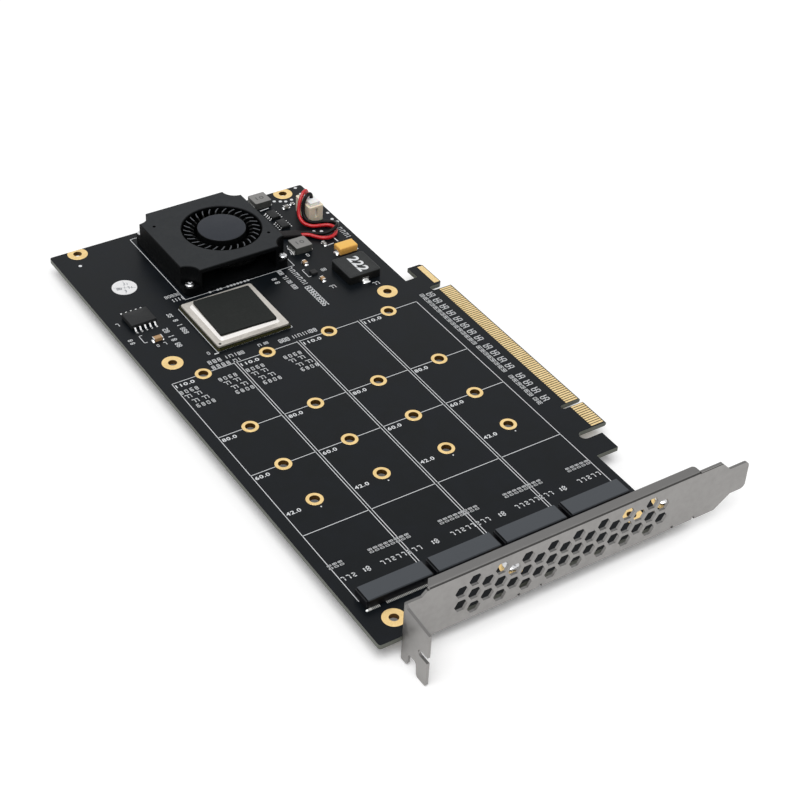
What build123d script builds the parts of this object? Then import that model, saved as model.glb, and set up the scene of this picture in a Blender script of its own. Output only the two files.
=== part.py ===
from build123d import *
import os
from math import cos, degrees, radians, sin, tan

os.makedirs("parts", exist_ok=True)

# Adapter card for four drives, in millimetres. X runs towards the edge contacts, Y away from the
# slot bracket and Z up from the component side. Plan sizes are taken from the middle of the four
# bays and from the line of the drive sockets, and heights from the board's upper face.

# Drive bays
bay_count = 4
bay_pitch = 23.0
drive_lengths = (42.0, 60.0, 80.0, 110.0)
drive_hole_radius = 1.65
drive_ring_radius = 2.65
bay_margin_left = 3.5
bay_margin_right = 3.0

# Drive sockets
socket_gap = 1.2
socket_rear = -3.6
socket_front = 2.5
socket_height = 3.2
socket_cheek = 0.55
socket_cheek_height = 2.7
socket_top_bevel = 0.3
card_slot_back = -1.4
card_slot_low = 0.95
card_slot_high = 2.2
key_ridge_x = -5.75
key_ridge_wide = 1.2
tail_count = 29
tail_key_count = 5
tail_pitch = 0.5
tail_first_x = -4.5
tail_key_first_x = -9.0
tail_wide = 0.22
tail_height = 0.2
tail_reach = 0.7
tail_tuck = 1.3
tail_clearance = 0.15
solder_tab_wide = 1.5
solder_tab_height = 0.3

# Board
board_thick = 1.57
board_near = -16.5
corner_round = 0.8
foil = 0.05
corner_hole_radius = 1.5
corner_ring_radius = 3.45
corner_hole_inset = 9.0
corner_hole_shift = 0.25
corner_hole_spread = 70.1
corner_hole_far_inset = 2.3
near_hole_y = -9.6
near_hole_shift = 0.4
near_hole_spacing = 81.8
pad_side_count = 14

# Card edge
finger_reach = 12.65
finger_near = 28.0
finger_far = 112.6
finger_bevel = 0.45
key_y = 40.35
key_wide = 1.9
key_root = 4.6
contact_pitch = 1.0
contact_wide = 0.68
contact_long = 4.6
contact_setback = 0.75
contact_from_key = 1.5
short_contact_count = 11
long_contact_count = 71
toe_long = 7.8
toe_slot_wide = 3.6
toe_reach = 8.2
toe_slot_root = 1.1
hook_slot_wide = 2.5
hook_long = 12.8
hook_reach = 10.3
hook_slot_root = 4.9
hook_mouth = 4.7
hook_neck_long = 6.7
hook_bevel = 0.9
hook_pad_wide = 2.4
hook_pad_inset = 1.1
near_tab_reach = 8.15
near_tab_far = -1.8

# Slot bracket
sheet = 0.86
bend_inside = 0.25
plate_face = -18.6
plate_left = -43.6
bracket_length = 119.8
plate_bottom = -1.8
plate_shoulder = 14.1
shoulder_run = 5.4
shoulder_rise = 2.2
lip_top = 16.2
lip_right = 57.1
lip_depth = 3.4
lip_skew = 1.7
lip_corner = 1.2
foot_shoulder_run = 11.2
foot_shoulder_top = 12.4
foot_slope_run = 3.7
foot_bottom = 2.3
foot_neck_run = 11.1
foot_round = 1.8
ear_1_centre = -1.75
ear_1_wide = 6.5
ear_2_centre = 53.15
ear_2_wide = 7.1
ear_reach = 11.5
ear_corner = 1.5
relief_wide = 0.9
relief_deep = 1.0
vent_column_count = 17
vent_first_x = -25.2
vent_pitch = 5.0
vent_corner_radius = 2.2
vent_low_row = 2.0
screw_tab_edge = 30.05
screw_tab_top = 13.3
screw_tab_drop = 6.3
screw_tab_inner_drop = 6.0
screw_tab_top_fall = 1.0
tab_fold_round = 0.7
screw_slot_low = 2.3
screw_slot_wide = 2.1
screw_slot_deep = 4.25
notch_inner = 21.25
notch_outer = 25.35
notch_top = -1.6
notch_slant = 0.6
tab_round = 0.9

# Screws through the ears
ear_screw_radius = 1.25
ear_screw_play = 0.03
ear_screw_head = 2.6
ear_screw_head_height = 1.7
ear_screw_tip = 0.4

# Switch chip
chip_x = -11.7
chip_gap_to_bays = 7.6
substrate_side = 27.0
substrate_thick = 1.2
substrate_corner = 0.3
lid_side = 26.1
lid_corner = 0.8
lid_flange = 0.55
lid_crown_side = 22.2
lid_crown_corner = 1.2
lid_crown_height = 1.05
lid_crown_lean = 38.0
pad_side_x = 20.2
pad_side_y = 20.5
pad_thick = 0.8
pad_corner = 0.4
pad_turn = -2.0

# Blower
blower_x = -0.2
blower_side = 39.3
blower_gap_to_chip = 3.95
board_beyond_blower = 4.25
blower_height = 9.7
blower_cover_thick = 1.5
blower_floor = 1.2
blower_wall = 0.85
blower_corner = 2.6
scoop_radius = 4.7
ear_top = 3.2
blower_screw_inset = 2.0
wheel_shift_x = 3.6
wheel_shift_y = -0.6
inlet_radius = 13.7
inlet_bevel = 0.3
volute_radius = 15.1
volute_swell = 17.6
volute_shift_x = -1.2
outlet_left = -14.3
outlet_right = 13.9
cover_pit_radius = 0.6
cover_pit_depth = 0.4
cover_pit_spread_x = 16.1
cover_pit_spread_y = 10.9

# Impeller and what turns it
hub_radius = 8.3
hub_top = 10.0
hub_bevel = 0.45
hub_cap = 1.0
hub_wall = 0.7
rotor_low = 2.6
blade_count = 29
blade_inner = 9.5
blade_outer = 14.3
blade_thick = 0.5
blade_lean = 12.0
blade_bow = 0.35
blade_top = 9.2
blade_step_radius = 13.0
blade_disc = 0.6
wheel_clearance = 0.5
yoke_wall = 0.45
seat_play = 0.05
magnet_thick = 1.1
magnet_low = 3.4
magnet_top = 8.0
shaft_radius = 0.75
shaft_low = 1.9
bearing_play = 0.05
bearing_radius = 1.55
bearing_top = 6.6
post_radius = 2.1
core_sleeve = 0.7
driver_radius = 7.4
driver_thick = 0.6
stator_gap = 0.4
stator_low = 3.2
stator_top = 6.2
pole_count = 4
pole_wide = 1.3
pole_shoe = 0.8
pole_shoe_arc = 66.0
coil_wide = 2.9
coil_depth = 1.1
coil_over = 0.5

# Blower screws
blower_screw_radius = 0.95
blower_screw_play = 0.1
blower_screw_head = 1.5
blower_screw_head_height = 1.0
blower_screw_below = 0.3
screw_side_count = 16
head_bevel = 0.3

# Wire header, plug and leads
header_inset_x = 7.45
header_inset_y = 18.8
header_wide = 5.7
header_long = 9.8
header_height = 6.0
header_wall = 0.8
header_floor = 1.2
header_slot_wide = 1.1
header_slot_low = 1.6
header_corner = 0.5
pin_count = 3
pin_pitch = 2.5
pin_side = 0.64
pin_top = 5.2
pin_below = 1.2
pin_hole_radius = 0.5
plug_play = 0.12
plug_above = 1.2
plug_pin_play = 0.1
lead_diameter = 1.3
lead_side_count = 6
lead_gate_y = 167.97
lead_gate_wide = 3.7
lead_gate_top = 1.8
lead_bend_share = 0.45

# Dark sleeve that holds both leads together beside the blower
sleeve_long = 12.9
sleeve_run = 0.4
sleeve_pitch = 1.62
sleeve_wall = 0.2
sleeve_play = 0.1
sleeve_seat = 0.05

# Points of the two leads, from the plug to the blower, kept by hand from the photograph
red_route = (
    (41.8, 175.7, 7.2),
    (41.8, 175.7, 8.4),
    (40.9, 175.2, 9.2),
    (39.2, 174.2, 8.9),
    (37.4, 173.0, 7.0),
    (36.2, 171.9, 4.4),
    (35.7, 170.2, 2.2),
    (35.9, 167.5, 1.1),
    (37.9, 165.0, 0.8),
    (41.2, 164.1, 0.8),
    (43.8, 163.0, 0.8),
    (44.7, 160.6, 0.8),
    (43.3, 157.6, 0.8),
    (40.6, 156.0, 0.8),
    (37.6, 156.7, 0.8),
    (35.6, 158.9, 0.8),
    (33.9, 161.21, 0.95),
    (18.9, 167.21, 0.95),
)
black_route = (
    (42.0, 172.9, 7.2),
    (42.0, 172.9, 8.4),
    (41.1, 172.7, 9.2),
    (39.4, 172.2, 8.8),
    (38.1, 171.7, 6.9),
    (37.5, 171.1, 4.6),
    (37.2, 169.8, 2.7),
    (37.5, 167.6, 1.7),
    (39.7, 166.3, 1.0),
    (42.5, 166.0, 0.9),
    (44.8, 164.7, 0.9),
    (45.8, 162.5, 1.4),
    (45.3, 160.2, 2.6),
    (43.8, 158.3, 2.8),
    (41.7, 157.6, 2.4),
    (39.5, 158.1, 1.5),
    (37.6, 159.6, 0.9),
    (35.9, 161.4, 0.8),
    (33.9, 162.83, 0.95),
    (18.9, 168.83, 0.95),
)

# Power parts
choke_size = (12.5, 12.4, 3.1)
choke_place = (-11.85, -57.3)
choke_corner = 0.8
choke_bevel = 0.3
choke_terminal_wide = 2.4
choke_terminal_reach = 0.9
choke_terminal_height = 1.6
tantalum_size = (7.1, 4.3, 2.8)
tantalum_place = (-8.0, -44.5)
tantalum_bevel = 0.4
tantalum_terminal_wide = 2.4
tantalum_terminal_height = 1.3
terminal_thick = 0.15
coil_block_size = (6.4, 6.15, 2.8)
coil_block_places = ((-21.4, -36.1), (-19.6, -4.6))
coil_block_corner = 0.35
coil_block_terminal_wide = 4.6
coil_block_terminal_height = 1.2
coil_block_terminal_reach = 0.5
regulator_size = (3.3, 4.8, 1.25)
regulator_places = ((-19.3, -13.7), (-19.2, -20.5))
regulator_lead_count = 4
regulator_lead_pitch = 1.27
regulator_lead_wide = 0.42
regulator_lead_reach = 0.95

# Memory chip
memory_x = -39.3
memory_gap_to_bays = 35.1
memory_size = (9.0, 7.8, 1.9)
memory_lead_count = 5
memory_lead_pitch = 1.75
memory_lead_wide = 0.55
memory_lead_reach = 2.3
gull_thick = 0.2
gull_foot_share = 0.4
body_standoff = 0.1
mould_draft = 7.0

# Small parts: size along X, size along Y, height, then place from the bays' middle and end
ceramic_bodies = (
    (3.2, 1.7, 1.2, -38.75, 22.9),
    (1.3, 2.1, 0.9, 24.55, 37.5),
    (1.3, 2.1, 0.9, 24.85, 26.2),
    (2.0, 1.25, 0.9, 36.6, 71.2),
    (1.0, 1.9, 0.8, 36.4, 44.5),
    (1.2, 0.8, 0.6, 39.7, 72.2),
)
plated_end = 0.22
flat_chip_size = (2.2, 2.2, 0.8)
flat_chip_place = (24.1, 31.0)
under_cap_size = (1.6, 0.8, 0.8)
under_cap_column_count = 4
under_cap_row_count = 4
under_cap_pitch = 5.2

# Round sticker
sticker_x = -35.2
sticker_gap_to_bays = 54.2
sticker_radius = 4.2
sticker_thick = 0.1

# What follows from the sizes above
bays_half = bay_count * bay_pitch / 2
board_left = -bays_half - bay_margin_left
board_right = bays_half + bay_margin_right
bays_end = drive_lengths[-1]
chip_y = bays_end + chip_gap_to_bays + substrate_side / 2
blower_y = chip_y + substrate_side / 2 + blower_gap_to_chip + blower_side / 2
blower_near = -blower_side / 2
board_far = blower_y + blower_side / 2 + board_beyond_blower
finger_edge = board_right + finger_reach
toe_far = finger_near - toe_slot_wide
toe_near = toe_far - toe_long
hook_near = finger_far + hook_slot_wide
hook_far = hook_near + hook_long
hook_throat = hook_near + hook_neck_long
plate_right = plate_left + bracket_length
board_top = screw_tab_drop
bay_x = -(board_left + plate_right) / 2
datum_y = -(board_far - screw_tab_edge) / 2
socket_half = (bay_pitch - socket_gap) / 2
hole_half = (board_right - board_left) / 2 - corner_hole_inset
hole_middle = (board_right + board_left) / 2 + corner_hole_shift
corner_far_y = board_far - corner_hole_far_inset
corner_mid_y = corner_far_y - corner_hole_spread
corner_ys = (corner_far_y, corner_mid_y)
corner_holes = [(hole_middle + side * hole_half, y) for side in (-1, 1) for y in corner_ys]
near_holes = [(near_hole_shift + side * near_hole_spacing / 2, near_hole_y) for side in (-1, 1)]
ear_holes = [(ear_1_centre, near_hole_y), (ear_2_centre, near_hole_y)]
bays = [(number - (bay_count - 1) / 2) * bay_pitch for number in range(bay_count)]
drive_holes = [(bay, length) for bay in bays for length in drive_lengths]
screw_half = blower_side / 2 - blower_screw_inset
header_centre = (board_right - header_inset_x, board_far - header_inset_y)
pin_steps = [n - (pin_count - 1) / 2 for n in range(pin_count)]
pin_places = [(header_centre[0], header_centre[1] + step * pin_pitch) for step in pin_steps]
bend_outside = sheet + bend_inside
cover_low = blower_height - blower_cover_thick
yoke_outer = hub_radius - hub_wall - seat_play
magnet_outer = yoke_outer - yoke_wall - seat_play
magnet_inner = magnet_outer - magnet_thick
stator_outer = magnet_inner - stator_gap

card = Plane((bay_x, datum_y, board_top))
blower = Plane((bay_x + blower_x, datum_y + blower_y, board_top))
wheel = Plane((bay_x + blower_x + wheel_shift_x, datum_y + blower_y + wheel_shift_y, board_top))
wheel_side = Plane(wheel.origin, x_dir=(1, 0, 0), z_dir=(0, -1, 0))
plate = Plane((bay_x, datum_y + plate_face, board_top), x_dir=(1, 0, 0), z_dir=(0, -1, 0))
screw_tab = Plane((bay_x + plate_left, datum_y, board_top), x_dir=(0, -1, 0), z_dir=(-1, 0, 0))


def block(left, near, right, far, mode=Mode.ADD):
    """A rectangle from its lowest corner to its highest."""
    with Locations(((left + right) / 2, (near + far) / 2)):
        Rectangle(right - left, far - near, mode=mode)


def edge_slot(root, near, far):
    """A slot with a round end, cut in from the card's contact edge."""
    radius = (far - near) / 2
    block(board_right + root + radius, near, finger_edge + radius, far, mode=Mode.SUBTRACT)
    with Locations((board_right + root + radius, near + radius)):
        Circle(radius, mode=Mode.SUBTRACT)


def ring(outer, inner):
    """A flat ring of two radii at each place in force."""
    Circle(outer)
    Circle(inner, mode=Mode.SUBTRACT)


def pad_ring(outer, inner):
    """A thin gold pad with flat sides, round a hole, at each place in force."""
    RegularPolygon(outer, pad_side_count)
    RegularPolygon(inner, pad_side_count, major_radius=False, mode=Mode.SUBTRACT)


def folded_strip(left, heel, leg_end, reach):
    """Section of a right-angled fold: the plate's sheet from leg_end to the heel, then out by reach."""
    rise = sheet if leg_end > heel else -sheet
    side = Plane((bay_x + left, datum_y, board_top), x_dir=(0, 1, 0), z_dir=(1, 0, 0))
    with BuildSketch(side, mode=Mode.PRIVATE) as section:
        with BuildLine():
            Polyline(
                (plate_face, leg_end),
                (plate_face, heel),
                (plate_face + reach, heel),
                (plate_face + reach, heel + rise),
                (plate_face + sheet, heel + rise),
                (plate_face + sheet, leg_end),
                close=True,
            )
        make_face()
        fillet(section.vertices().sort_by_distance((plate_face, heel, 0))[:1], bend_outside)
        fillet(section.vertices().sort_by_distance((plate_face + sheet, heel + rise, 0))[:1], bend_inside)
    return section.sketch


# Board
with BuildPart() as board:
    with BuildSketch(card.offset(-board_thick)) as outline:
        block(board_left, board_near, board_right, board_far)
        fillet(outline.vertices().sort_by(Axis.X)[:2], corner_round)
        fillet(outline.vertices().sort_by(Axis.X).sort_by(Axis.Y)[-1:], corner_round)
        block(board_right - corner_round, board_near, board_right + near_tab_reach, near_tab_far)
        fillet(outline.vertices().group_by(Axis.Y)[0].sort_by(Axis.X)[-1:], corner_round)
        block(board_right - corner_round, toe_near, board_right + toe_reach, toe_far + foil)
        block(board_right - corner_round, toe_near, board_right + toe_slot_root, finger_near)
        block(board_right - corner_round, toe_far, finger_edge, finger_far)
        block(board_right + hook_mouth, finger_far - foil, board_right + hook_reach, hook_far)
        block(board_right - corner_round, finger_far - foil, board_right + hook_mouth + foil, hook_throat)
        edge_slot(toe_slot_root, toe_far, finger_near)
        edge_slot(key_root, key_y - key_wide / 2, key_y + key_wide / 2)
        edge_slot(hook_slot_root, finger_far, hook_near)
        hook_corners = [(board_right + hook_reach, end, 0) for end in (hook_near, hook_far)]
        chamfer([outline.vertices().sort_by_distance(spot)[0] for spot in hook_corners], hook_bevel)
        with Locations(*drive_holes):
            Circle(drive_hole_radius, mode=Mode.SUBTRACT)
        with Locations(*corner_holes, *near_holes, *ear_holes):
            Circle(corner_hole_radius, mode=Mode.SUBTRACT)
        with Locations((blower_x, blower_y)):
            with GridLocations(2 * screw_half, 2 * screw_half, 2, 2):
                RegularPolygon(blower_screw_radius + blower_screw_play, screw_side_count,
                               major_radius=False, mode=Mode.SUBTRACT)
        with Locations(*pin_places):
            Circle(pin_hole_radius, mode=Mode.SUBTRACT)
    extrude(amount=board_thick)
    long_edges = board.edges().filter_by(Axis.Y)
    finger_ends = (bay_x + finger_edge - foil, bay_x + finger_edge + foil)
    chamfer(long_edges.filter_by_position(Axis.X, *finger_ends), finger_bevel)
board.part.label = "board"
export_step(board.part, "parts/board.step")

# Gold contacts on both faces of the card edge, with the pad on the hook
contact_middle = finger_edge - contact_setback - contact_long / 2
with BuildPart() as edge_contacts:
    for level in (0.0, -board_thick - foil):
        with BuildSketch(card.offset(level)):
            for count, direction in ((long_contact_count, 1), (short_contact_count, -1)):
                span = contact_from_key + (count - 1) * contact_pitch / 2
                with Locations((contact_middle, key_y + direction * span)):
                    with GridLocations(contact_pitch, contact_pitch, 1, count):
                        Rectangle(contact_long, contact_wide)
            block(board_right + hook_reach - hook_pad_wide, hook_near + hook_pad_inset,
                  board_right + hook_reach - contact_setback / 3, hook_far - hook_pad_inset)
        extrude(amount=foil)
edge_contacts.part.label = "edge_contacts"
export_step(edge_contacts.part, "parts/edge_contacts.step")

# Gold rings round the screw holes of the drives
with BuildPart() as drive_pads:
    with BuildSketch(card):
        with Locations(*drive_holes):
            pad_ring(drive_ring_radius, drive_hole_radius)
    extrude(amount=foil)
drive_pads.part.label = "drive_pads"
export_step(drive_pads.part, "parts/drive_pads.step")

# Gold rings round the larger holes
with BuildPart() as mounting_pads:
    with BuildSketch(card):
        with Locations(*corner_holes, *near_holes, *ear_holes):
            pad_ring(corner_ring_radius, corner_hole_radius)
    extrude(amount=foil)
mounting_pads.part.label = "mounting_pads"
export_step(mounting_pads.part, "parts/mounting_pads.step")

# Slot bracket, folded from one sheet
lip_left = plate_left + shoulder_run + shoulder_rise
foot_rise = plate_right - foot_shoulder_run
ear_leg = plate_bottom + relief_deep
ears = ((ear_1_centre, ear_1_wide), (ear_2_centre, ear_2_wide))
with BuildPart() as bracket:
    with BuildSketch(plate) as face:
        with BuildLine():
            Polyline(
                (plate_left, plate_bottom),
                (plate_left, plate_shoulder),
                (plate_left + shoulder_run, plate_shoulder),
                (lip_left, lip_top),
                (lip_left, plate_shoulder),
                (lip_right, plate_shoulder),
                (lip_right, lip_top),
                (foot_rise, lip_top),
                (foot_rise + foot_slope_run, foot_shoulder_top),
                (plate_right, foot_shoulder_top),
                (plate_right, foot_bottom),
                (plate_right - foot_neck_run / 2, foot_bottom),
                (plate_right - foot_neck_run, plate_bottom),
                close=True,
            )
        make_face()
        fillet(face.vertices().group_by(Axis.X)[-1], foot_round)
        for centre, wide in ears:
            block(centre - wide / 2 - relief_wide, plate_bottom, centre + wide / 2 + relief_wide, ear_leg,
                  mode=Mode.SUBTRACT)
        for column in range(vent_column_count):
            rows = 2 + column % 2
            lift = vent_low_row + (0 if column % 2 else vent_pitch / 2)
            x = vent_first_x + column * vent_pitch * sin(radians(60))
            with Locations((x, lift + (rows - 1) * vent_pitch / 2)):
                with GridLocations(vent_pitch, vent_pitch, 1, rows):
                    RegularPolygon(vent_corner_radius, 6, mode=Mode.SUBTRACT)
    extrude(amount=-sheet)
    extrude(folded_strip(lip_left, lip_top, plate_shoulder, lip_depth), amount=lip_right - lip_left)
    lip_ends = bracket.edges().filter_by(Axis.Z).group_by(Axis.Y)[-1].sort_by(Axis.X)
    fillet(lip_ends[-1:], lip_corner)
    with BuildSketch(card.offset(lip_top)):
        with BuildLine():
            Polyline(
                (lip_left, plate_face + bend_outside),
                (lip_left, plate_face + lip_depth),
                (lip_left + lip_skew, plate_face + lip_depth),
                close=True,
            )
        make_face()
    extrude(amount=-sheet, mode=Mode.SUBTRACT)
    for centre, wide in ears:
        extrude(folded_strip(centre - wide / 2, -board_thick - sheet, ear_leg, ear_reach), amount=wide)
    fillet(bracket.edges().filter_by(Axis.Z).group_by(Axis.Y)[-1], ear_corner)
    with BuildSketch(card.offset(-board_thick - sheet)):
        with Locations(*ear_holes):
            Circle(ear_screw_radius + ear_screw_play)
    extrude(amount=sheet, mode=Mode.SUBTRACT)
    with BuildSketch(screw_tab) as tab:
        with BuildLine():
            Polyline(
                (-plate_face - sheet, plate_shoulder),
                (-plate_face, plate_shoulder),
                (-plate_face + sheet, screw_tab_top),
                (screw_tab_edge, screw_tab_top - screw_tab_top_fall),
                (screw_tab_edge, -screw_tab_drop),
                (notch_outer + notch_slant / 2, -screw_tab_drop),
                (notch_outer - notch_slant / 2, notch_top),
                (notch_inner + notch_slant / 2, notch_top),
                (notch_inner, -screw_tab_inner_drop),
                (-plate_face - sheet, -screw_tab_inner_drop),
                close=True,
            )
        make_face()
        low_corners = tab.vertices().filter_by_position(Axis.Y, -screw_tab_drop - foil, notch_top + foil)
        fillet(low_corners.sort_by(Axis.X)[1:], tab_round)
        slot_end = screw_tab_edge - screw_slot_deep + screw_slot_wide / 2
        block(slot_end, screw_slot_low, screw_tab_edge, screw_slot_low + screw_slot_wide, mode=Mode.SUBTRACT)
        with Locations((slot_end, screw_slot_low + screw_slot_wide / 2)):
            Circle(screw_slot_wide / 2, mode=Mode.SUBTRACT)
    extrude(amount=-sheet)
    upright = bracket.edges().filter_by(Axis.Z)
    heel = upright.sort_by_distance((bay_x + plate_left, datum_y + plate_face + sheet, board_top))[:1]
    fillet(heel, tab_fold_round)
bracket.part.label = "bracket"
export_step(bracket.part, "parts/bracket.step")

# Screws that hold the board on the bracket's ears
with BuildPart() as bracket_screws:
    with BuildSketch(card.offset(-board_thick - sheet - ear_screw_tip)):
        with Locations(*ear_holes):
            RegularPolygon(ear_screw_radius, screw_side_count)
    extrude(amount=board_thick + sheet + ear_screw_tip + foil)
    with BuildSketch(card.offset(foil)):
        with Locations(*ear_holes):
            RegularPolygon(ear_screw_head, screw_side_count)
    extrude(amount=ear_screw_head_height)
    chamfer(bracket_screws.edges().group_by(Axis.Z)[-1], head_bevel)
bracket_screws.part.label = "bracket_screws"
export_step(bracket_screws.part, "parts/bracket_screws.step")

# Drive sockets and their contacts
for number, bay in enumerate(bays, start=1):
    section = Plane((bay_x + bay, datum_y, board_top), x_dir=(0, 1, 0), z_dir=(1, 0, 0))
    with BuildPart() as socket:
        with BuildSketch(section):
            with BuildLine():
                Polyline(
                    (socket_rear, tail_height + tail_clearance),
                    (socket_rear, socket_height - socket_top_bevel),
                    (socket_rear + socket_top_bevel, socket_height),
                    (socket_front, socket_height),
                    (socket_front, card_slot_high + socket_top_bevel),
                    (socket_front - socket_top_bevel, card_slot_high),
                    (card_slot_back, card_slot_high),
                    (card_slot_back, card_slot_low),
                    (socket_front, card_slot_low),
                    (socket_front, 0),
                    (socket_rear + tail_tuck, 0),
                    (socket_rear + tail_tuck, tail_height + tail_clearance),
                    close=True,
                )
            make_face()
        extrude(amount=socket_half - socket_cheek, both=True)
        with BuildSketch(card):
            for side in (-1, 1):
                outer = bay + side * socket_half
                inner = outer - side * socket_cheek
                block(min(outer, inner), socket_rear + socket_top_bevel, max(outer, inner), socket_front)
        extrude(amount=socket_cheek_height)
        with BuildSketch(card.offset(card_slot_low)):
            block(bay + key_ridge_x - key_ridge_wide / 2, card_slot_back,
                  bay + key_ridge_x + key_ridge_wide / 2, socket_front - socket_top_bevel)
        extrude(amount=card_slot_high - card_slot_low)
    socket.part.label = f"drive_socket_{number}"
    export_step(socket.part, f"parts/drive_socket_{number}.step")

    with BuildPart() as contacts:
        with BuildSketch(card):
            for first, count in ((tail_first_x, tail_count), (tail_key_first_x, tail_key_count)):
                middle = bay + first + (count - 1) * tail_pitch / 2
                with Locations((middle, socket_rear + (tail_tuck - tail_reach) / 2)):
                    with GridLocations(tail_pitch, tail_pitch, count, 1):
                        Rectangle(tail_wide, tail_tuck + tail_reach)
        extrude(amount=tail_height)
        with BuildSketch(card):
            for side in (-1, 1):
                tab_x = bay + side * (socket_half - solder_tab_wide / 2)
                with Locations((tab_x, socket_rear - tail_reach / 2)):
                    Rectangle(solder_tab_wide, tail_reach)
        extrude(amount=solder_tab_height)
    contacts.part.label = f"socket_contacts_{number}"
    export_step(contacts.part, f"parts/socket_contacts_{number}.step")

# Switch chip: substrate, metal lid and thermal pad
chip = Plane((bay_x + chip_x, datum_y + chip_y, board_top))
with BuildPart() as switch_substrate:
    with BuildSketch(chip):
        Rectangle(substrate_side, substrate_side)
    extrude(amount=substrate_thick)
    chamfer(switch_substrate.edges().filter_by(Axis.Z), substrate_corner)
switch_substrate.part.label = "switch_substrate"
export_step(switch_substrate.part, "parts/switch_substrate.step")

lid_top = substrate_thick + lid_flange + lid_crown_height
with BuildPart() as switch_lid:
    with BuildSketch(chip.offset(substrate_thick)):
        RectangleRounded(lid_side, lid_side, lid_corner)
    extrude(amount=lid_flange)
    with BuildSketch(chip.offset(substrate_thick + lid_flange)):
        RectangleRounded(lid_crown_side, lid_crown_side, lid_crown_corner)
    extrude(amount=lid_crown_height, taper=lid_crown_lean)
switch_lid.part.label = "switch_lid"
export_step(switch_lid.part, "parts/switch_lid.step")

with BuildPart() as thermal_pad:
    with BuildSketch(chip.offset(lid_top).rotated((0, 0, pad_turn))):
        RectangleRounded(pad_side_x, pad_side_y, pad_corner)
    extrude(amount=pad_thick)
thermal_pad.part.label = "thermal_pad"
export_step(thermal_pad.part, "parts/thermal_pad.step")


def blower_outline():
    """The blower's square plan with a round scoop at each corner."""
    Rectangle(blower_side, blower_side)
    with GridLocations(blower_side, blower_side, 2, 2):
        Circle(scoop_radius, mode=Mode.SUBTRACT)


# Blower housing: floor, corner ears, and the spiral wall that is open at the outlet
gate_y = lead_gate_y - blower_y
with BuildPart() as fan_housing:
    with BuildSketch(blower):
        RectangleRounded(blower_side, blower_side, blower_corner)
    extrude(amount=ear_top)
    with BuildSketch(blower.offset(ear_top)):
        blower_outline()
    extrude(amount=cover_low - ear_top)
    with BuildSketch(blower.offset(blower_floor)):
        with Locations((wheel_shift_x, wheel_shift_y)):
            Circle(volute_radius)
        with Locations((volute_shift_x, wheel_shift_y)):
            Circle(volute_swell)
        block(outlet_left - blower_x, blower_near, outlet_right - blower_x, wheel_shift_y)
    extrude(amount=cover_low - blower_floor, mode=Mode.SUBTRACT)
    with BuildSketch(blower):
        block(blower_side / 2 - blower_wall, gate_y - lead_gate_wide / 2,
              blower_side / 2, gate_y + lead_gate_wide / 2)
    extrude(amount=lead_gate_top, mode=Mode.SUBTRACT)
    with BuildSketch(blower):
        with GridLocations(2 * screw_half, 2 * screw_half, 2, 2):
            RegularPolygon(blower_screw_radius + blower_screw_play, screw_side_count, major_radius=False)
    extrude(amount=ear_top, mode=Mode.SUBTRACT)
    with BuildSketch(wheel.offset(blower_floor)):
        ring(post_radius, bearing_radius + seat_play)
    extrude(amount=bearing_top - blower_floor)
fan_housing.part.label = "fan_housing"
export_step(fan_housing.part, "parts/fan_housing.step")

# Blower cover with its inlet
with BuildPart() as fan_cover:
    with BuildSketch(blower.offset(cover_low)):
        blower_outline()
        with Locations((wheel_shift_x, wheel_shift_y)):
            Circle(inlet_radius, mode=Mode.SUBTRACT)
    extrude(amount=blower_cover_thick)
    chamfer(fan_cover.edges().group_by(Axis.Z)[-1], inlet_bevel)
    with BuildSketch(blower.offset(blower_height)):
        for side in (-1, 1):
            with Locations((side * cover_pit_spread_x, -side * cover_pit_spread_y)):
                RegularPolygon(cover_pit_radius, screw_side_count // 2)
    extrude(amount=-cover_pit_depth, mode=Mode.SUBTRACT)
fan_cover.part.label = "fan_cover"
export_step(fan_cover.part, "parts/fan_cover.step")


def polar(radius, degrees):
    """A point at a radius and an angle from the wheel's middle."""
    return (radius * cos(radians(degrees)), radius * sin(radians(degrees)))


# Impeller: hub, disc and the curved blades, which step down under the cover
blade_middle = (blade_inner + blade_outer) / 2
blade_swing = degrees(blade_thick / 2 / blade_outer)
middle_swing = degrees(blade_thick / 2 / blade_middle)
under_cover = cover_low - wheel_clearance
with BuildPart() as impeller:
    with BuildSketch(wheel_side) as hub_section:
        with BuildLine():
            Polyline(
                (0, hub_top),
                (hub_radius, hub_top),
                (hub_radius, rotor_low + blade_disc),
                (blade_outer, rotor_low + blade_disc),
                (blade_outer, rotor_low),
                (hub_radius - hub_wall, rotor_low),
                (hub_radius - hub_wall, hub_top - hub_cap),
                (shaft_radius, hub_top - hub_cap),
                (shaft_radius, hub_top - hub_cap / 2),
                (0, hub_top - hub_cap / 2),
                close=True,
            )
        make_face()
        chamfer(hub_section.vertices().group_by(Axis.Y)[-1].sort_by(Axis.X)[-1:], hub_bevel)
    revolve(axis=Axis(wheel.origin, (0, 0, 1)))
    with BuildSketch(wheel.offset(rotor_low + blade_disc)) as blades:
        with BuildLine():
            for side in (-1, 1):
                ThreePointArc(
                    (blade_inner, side * blade_thick / 2),
                    polar(blade_middle, -blade_lean * blade_bow + side * middle_swing),
                    polar(blade_outer, -blade_lean + side * blade_swing),
                )
            Line((blade_inner, -blade_thick / 2), (blade_inner, blade_thick / 2))
            Line(*(polar(blade_outer, -blade_lean + side * blade_swing) for side in (-1, 1)))
        make_face()
        one_blade = blades.faces()[0]
        with PolarLocations(0, blade_count - 1, 360 / blade_count, 360 - 360 / blade_count):
            add(one_blade)
    extrude(amount=blade_top - rotor_low - blade_disc)
    with BuildSketch(wheel.offset(under_cover)):
        ring(blade_outer + wheel_clearance, blade_step_radius)
    extrude(amount=blade_top - under_cover, mode=Mode.SUBTRACT)
impeller.part.label = "impeller"
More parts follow.
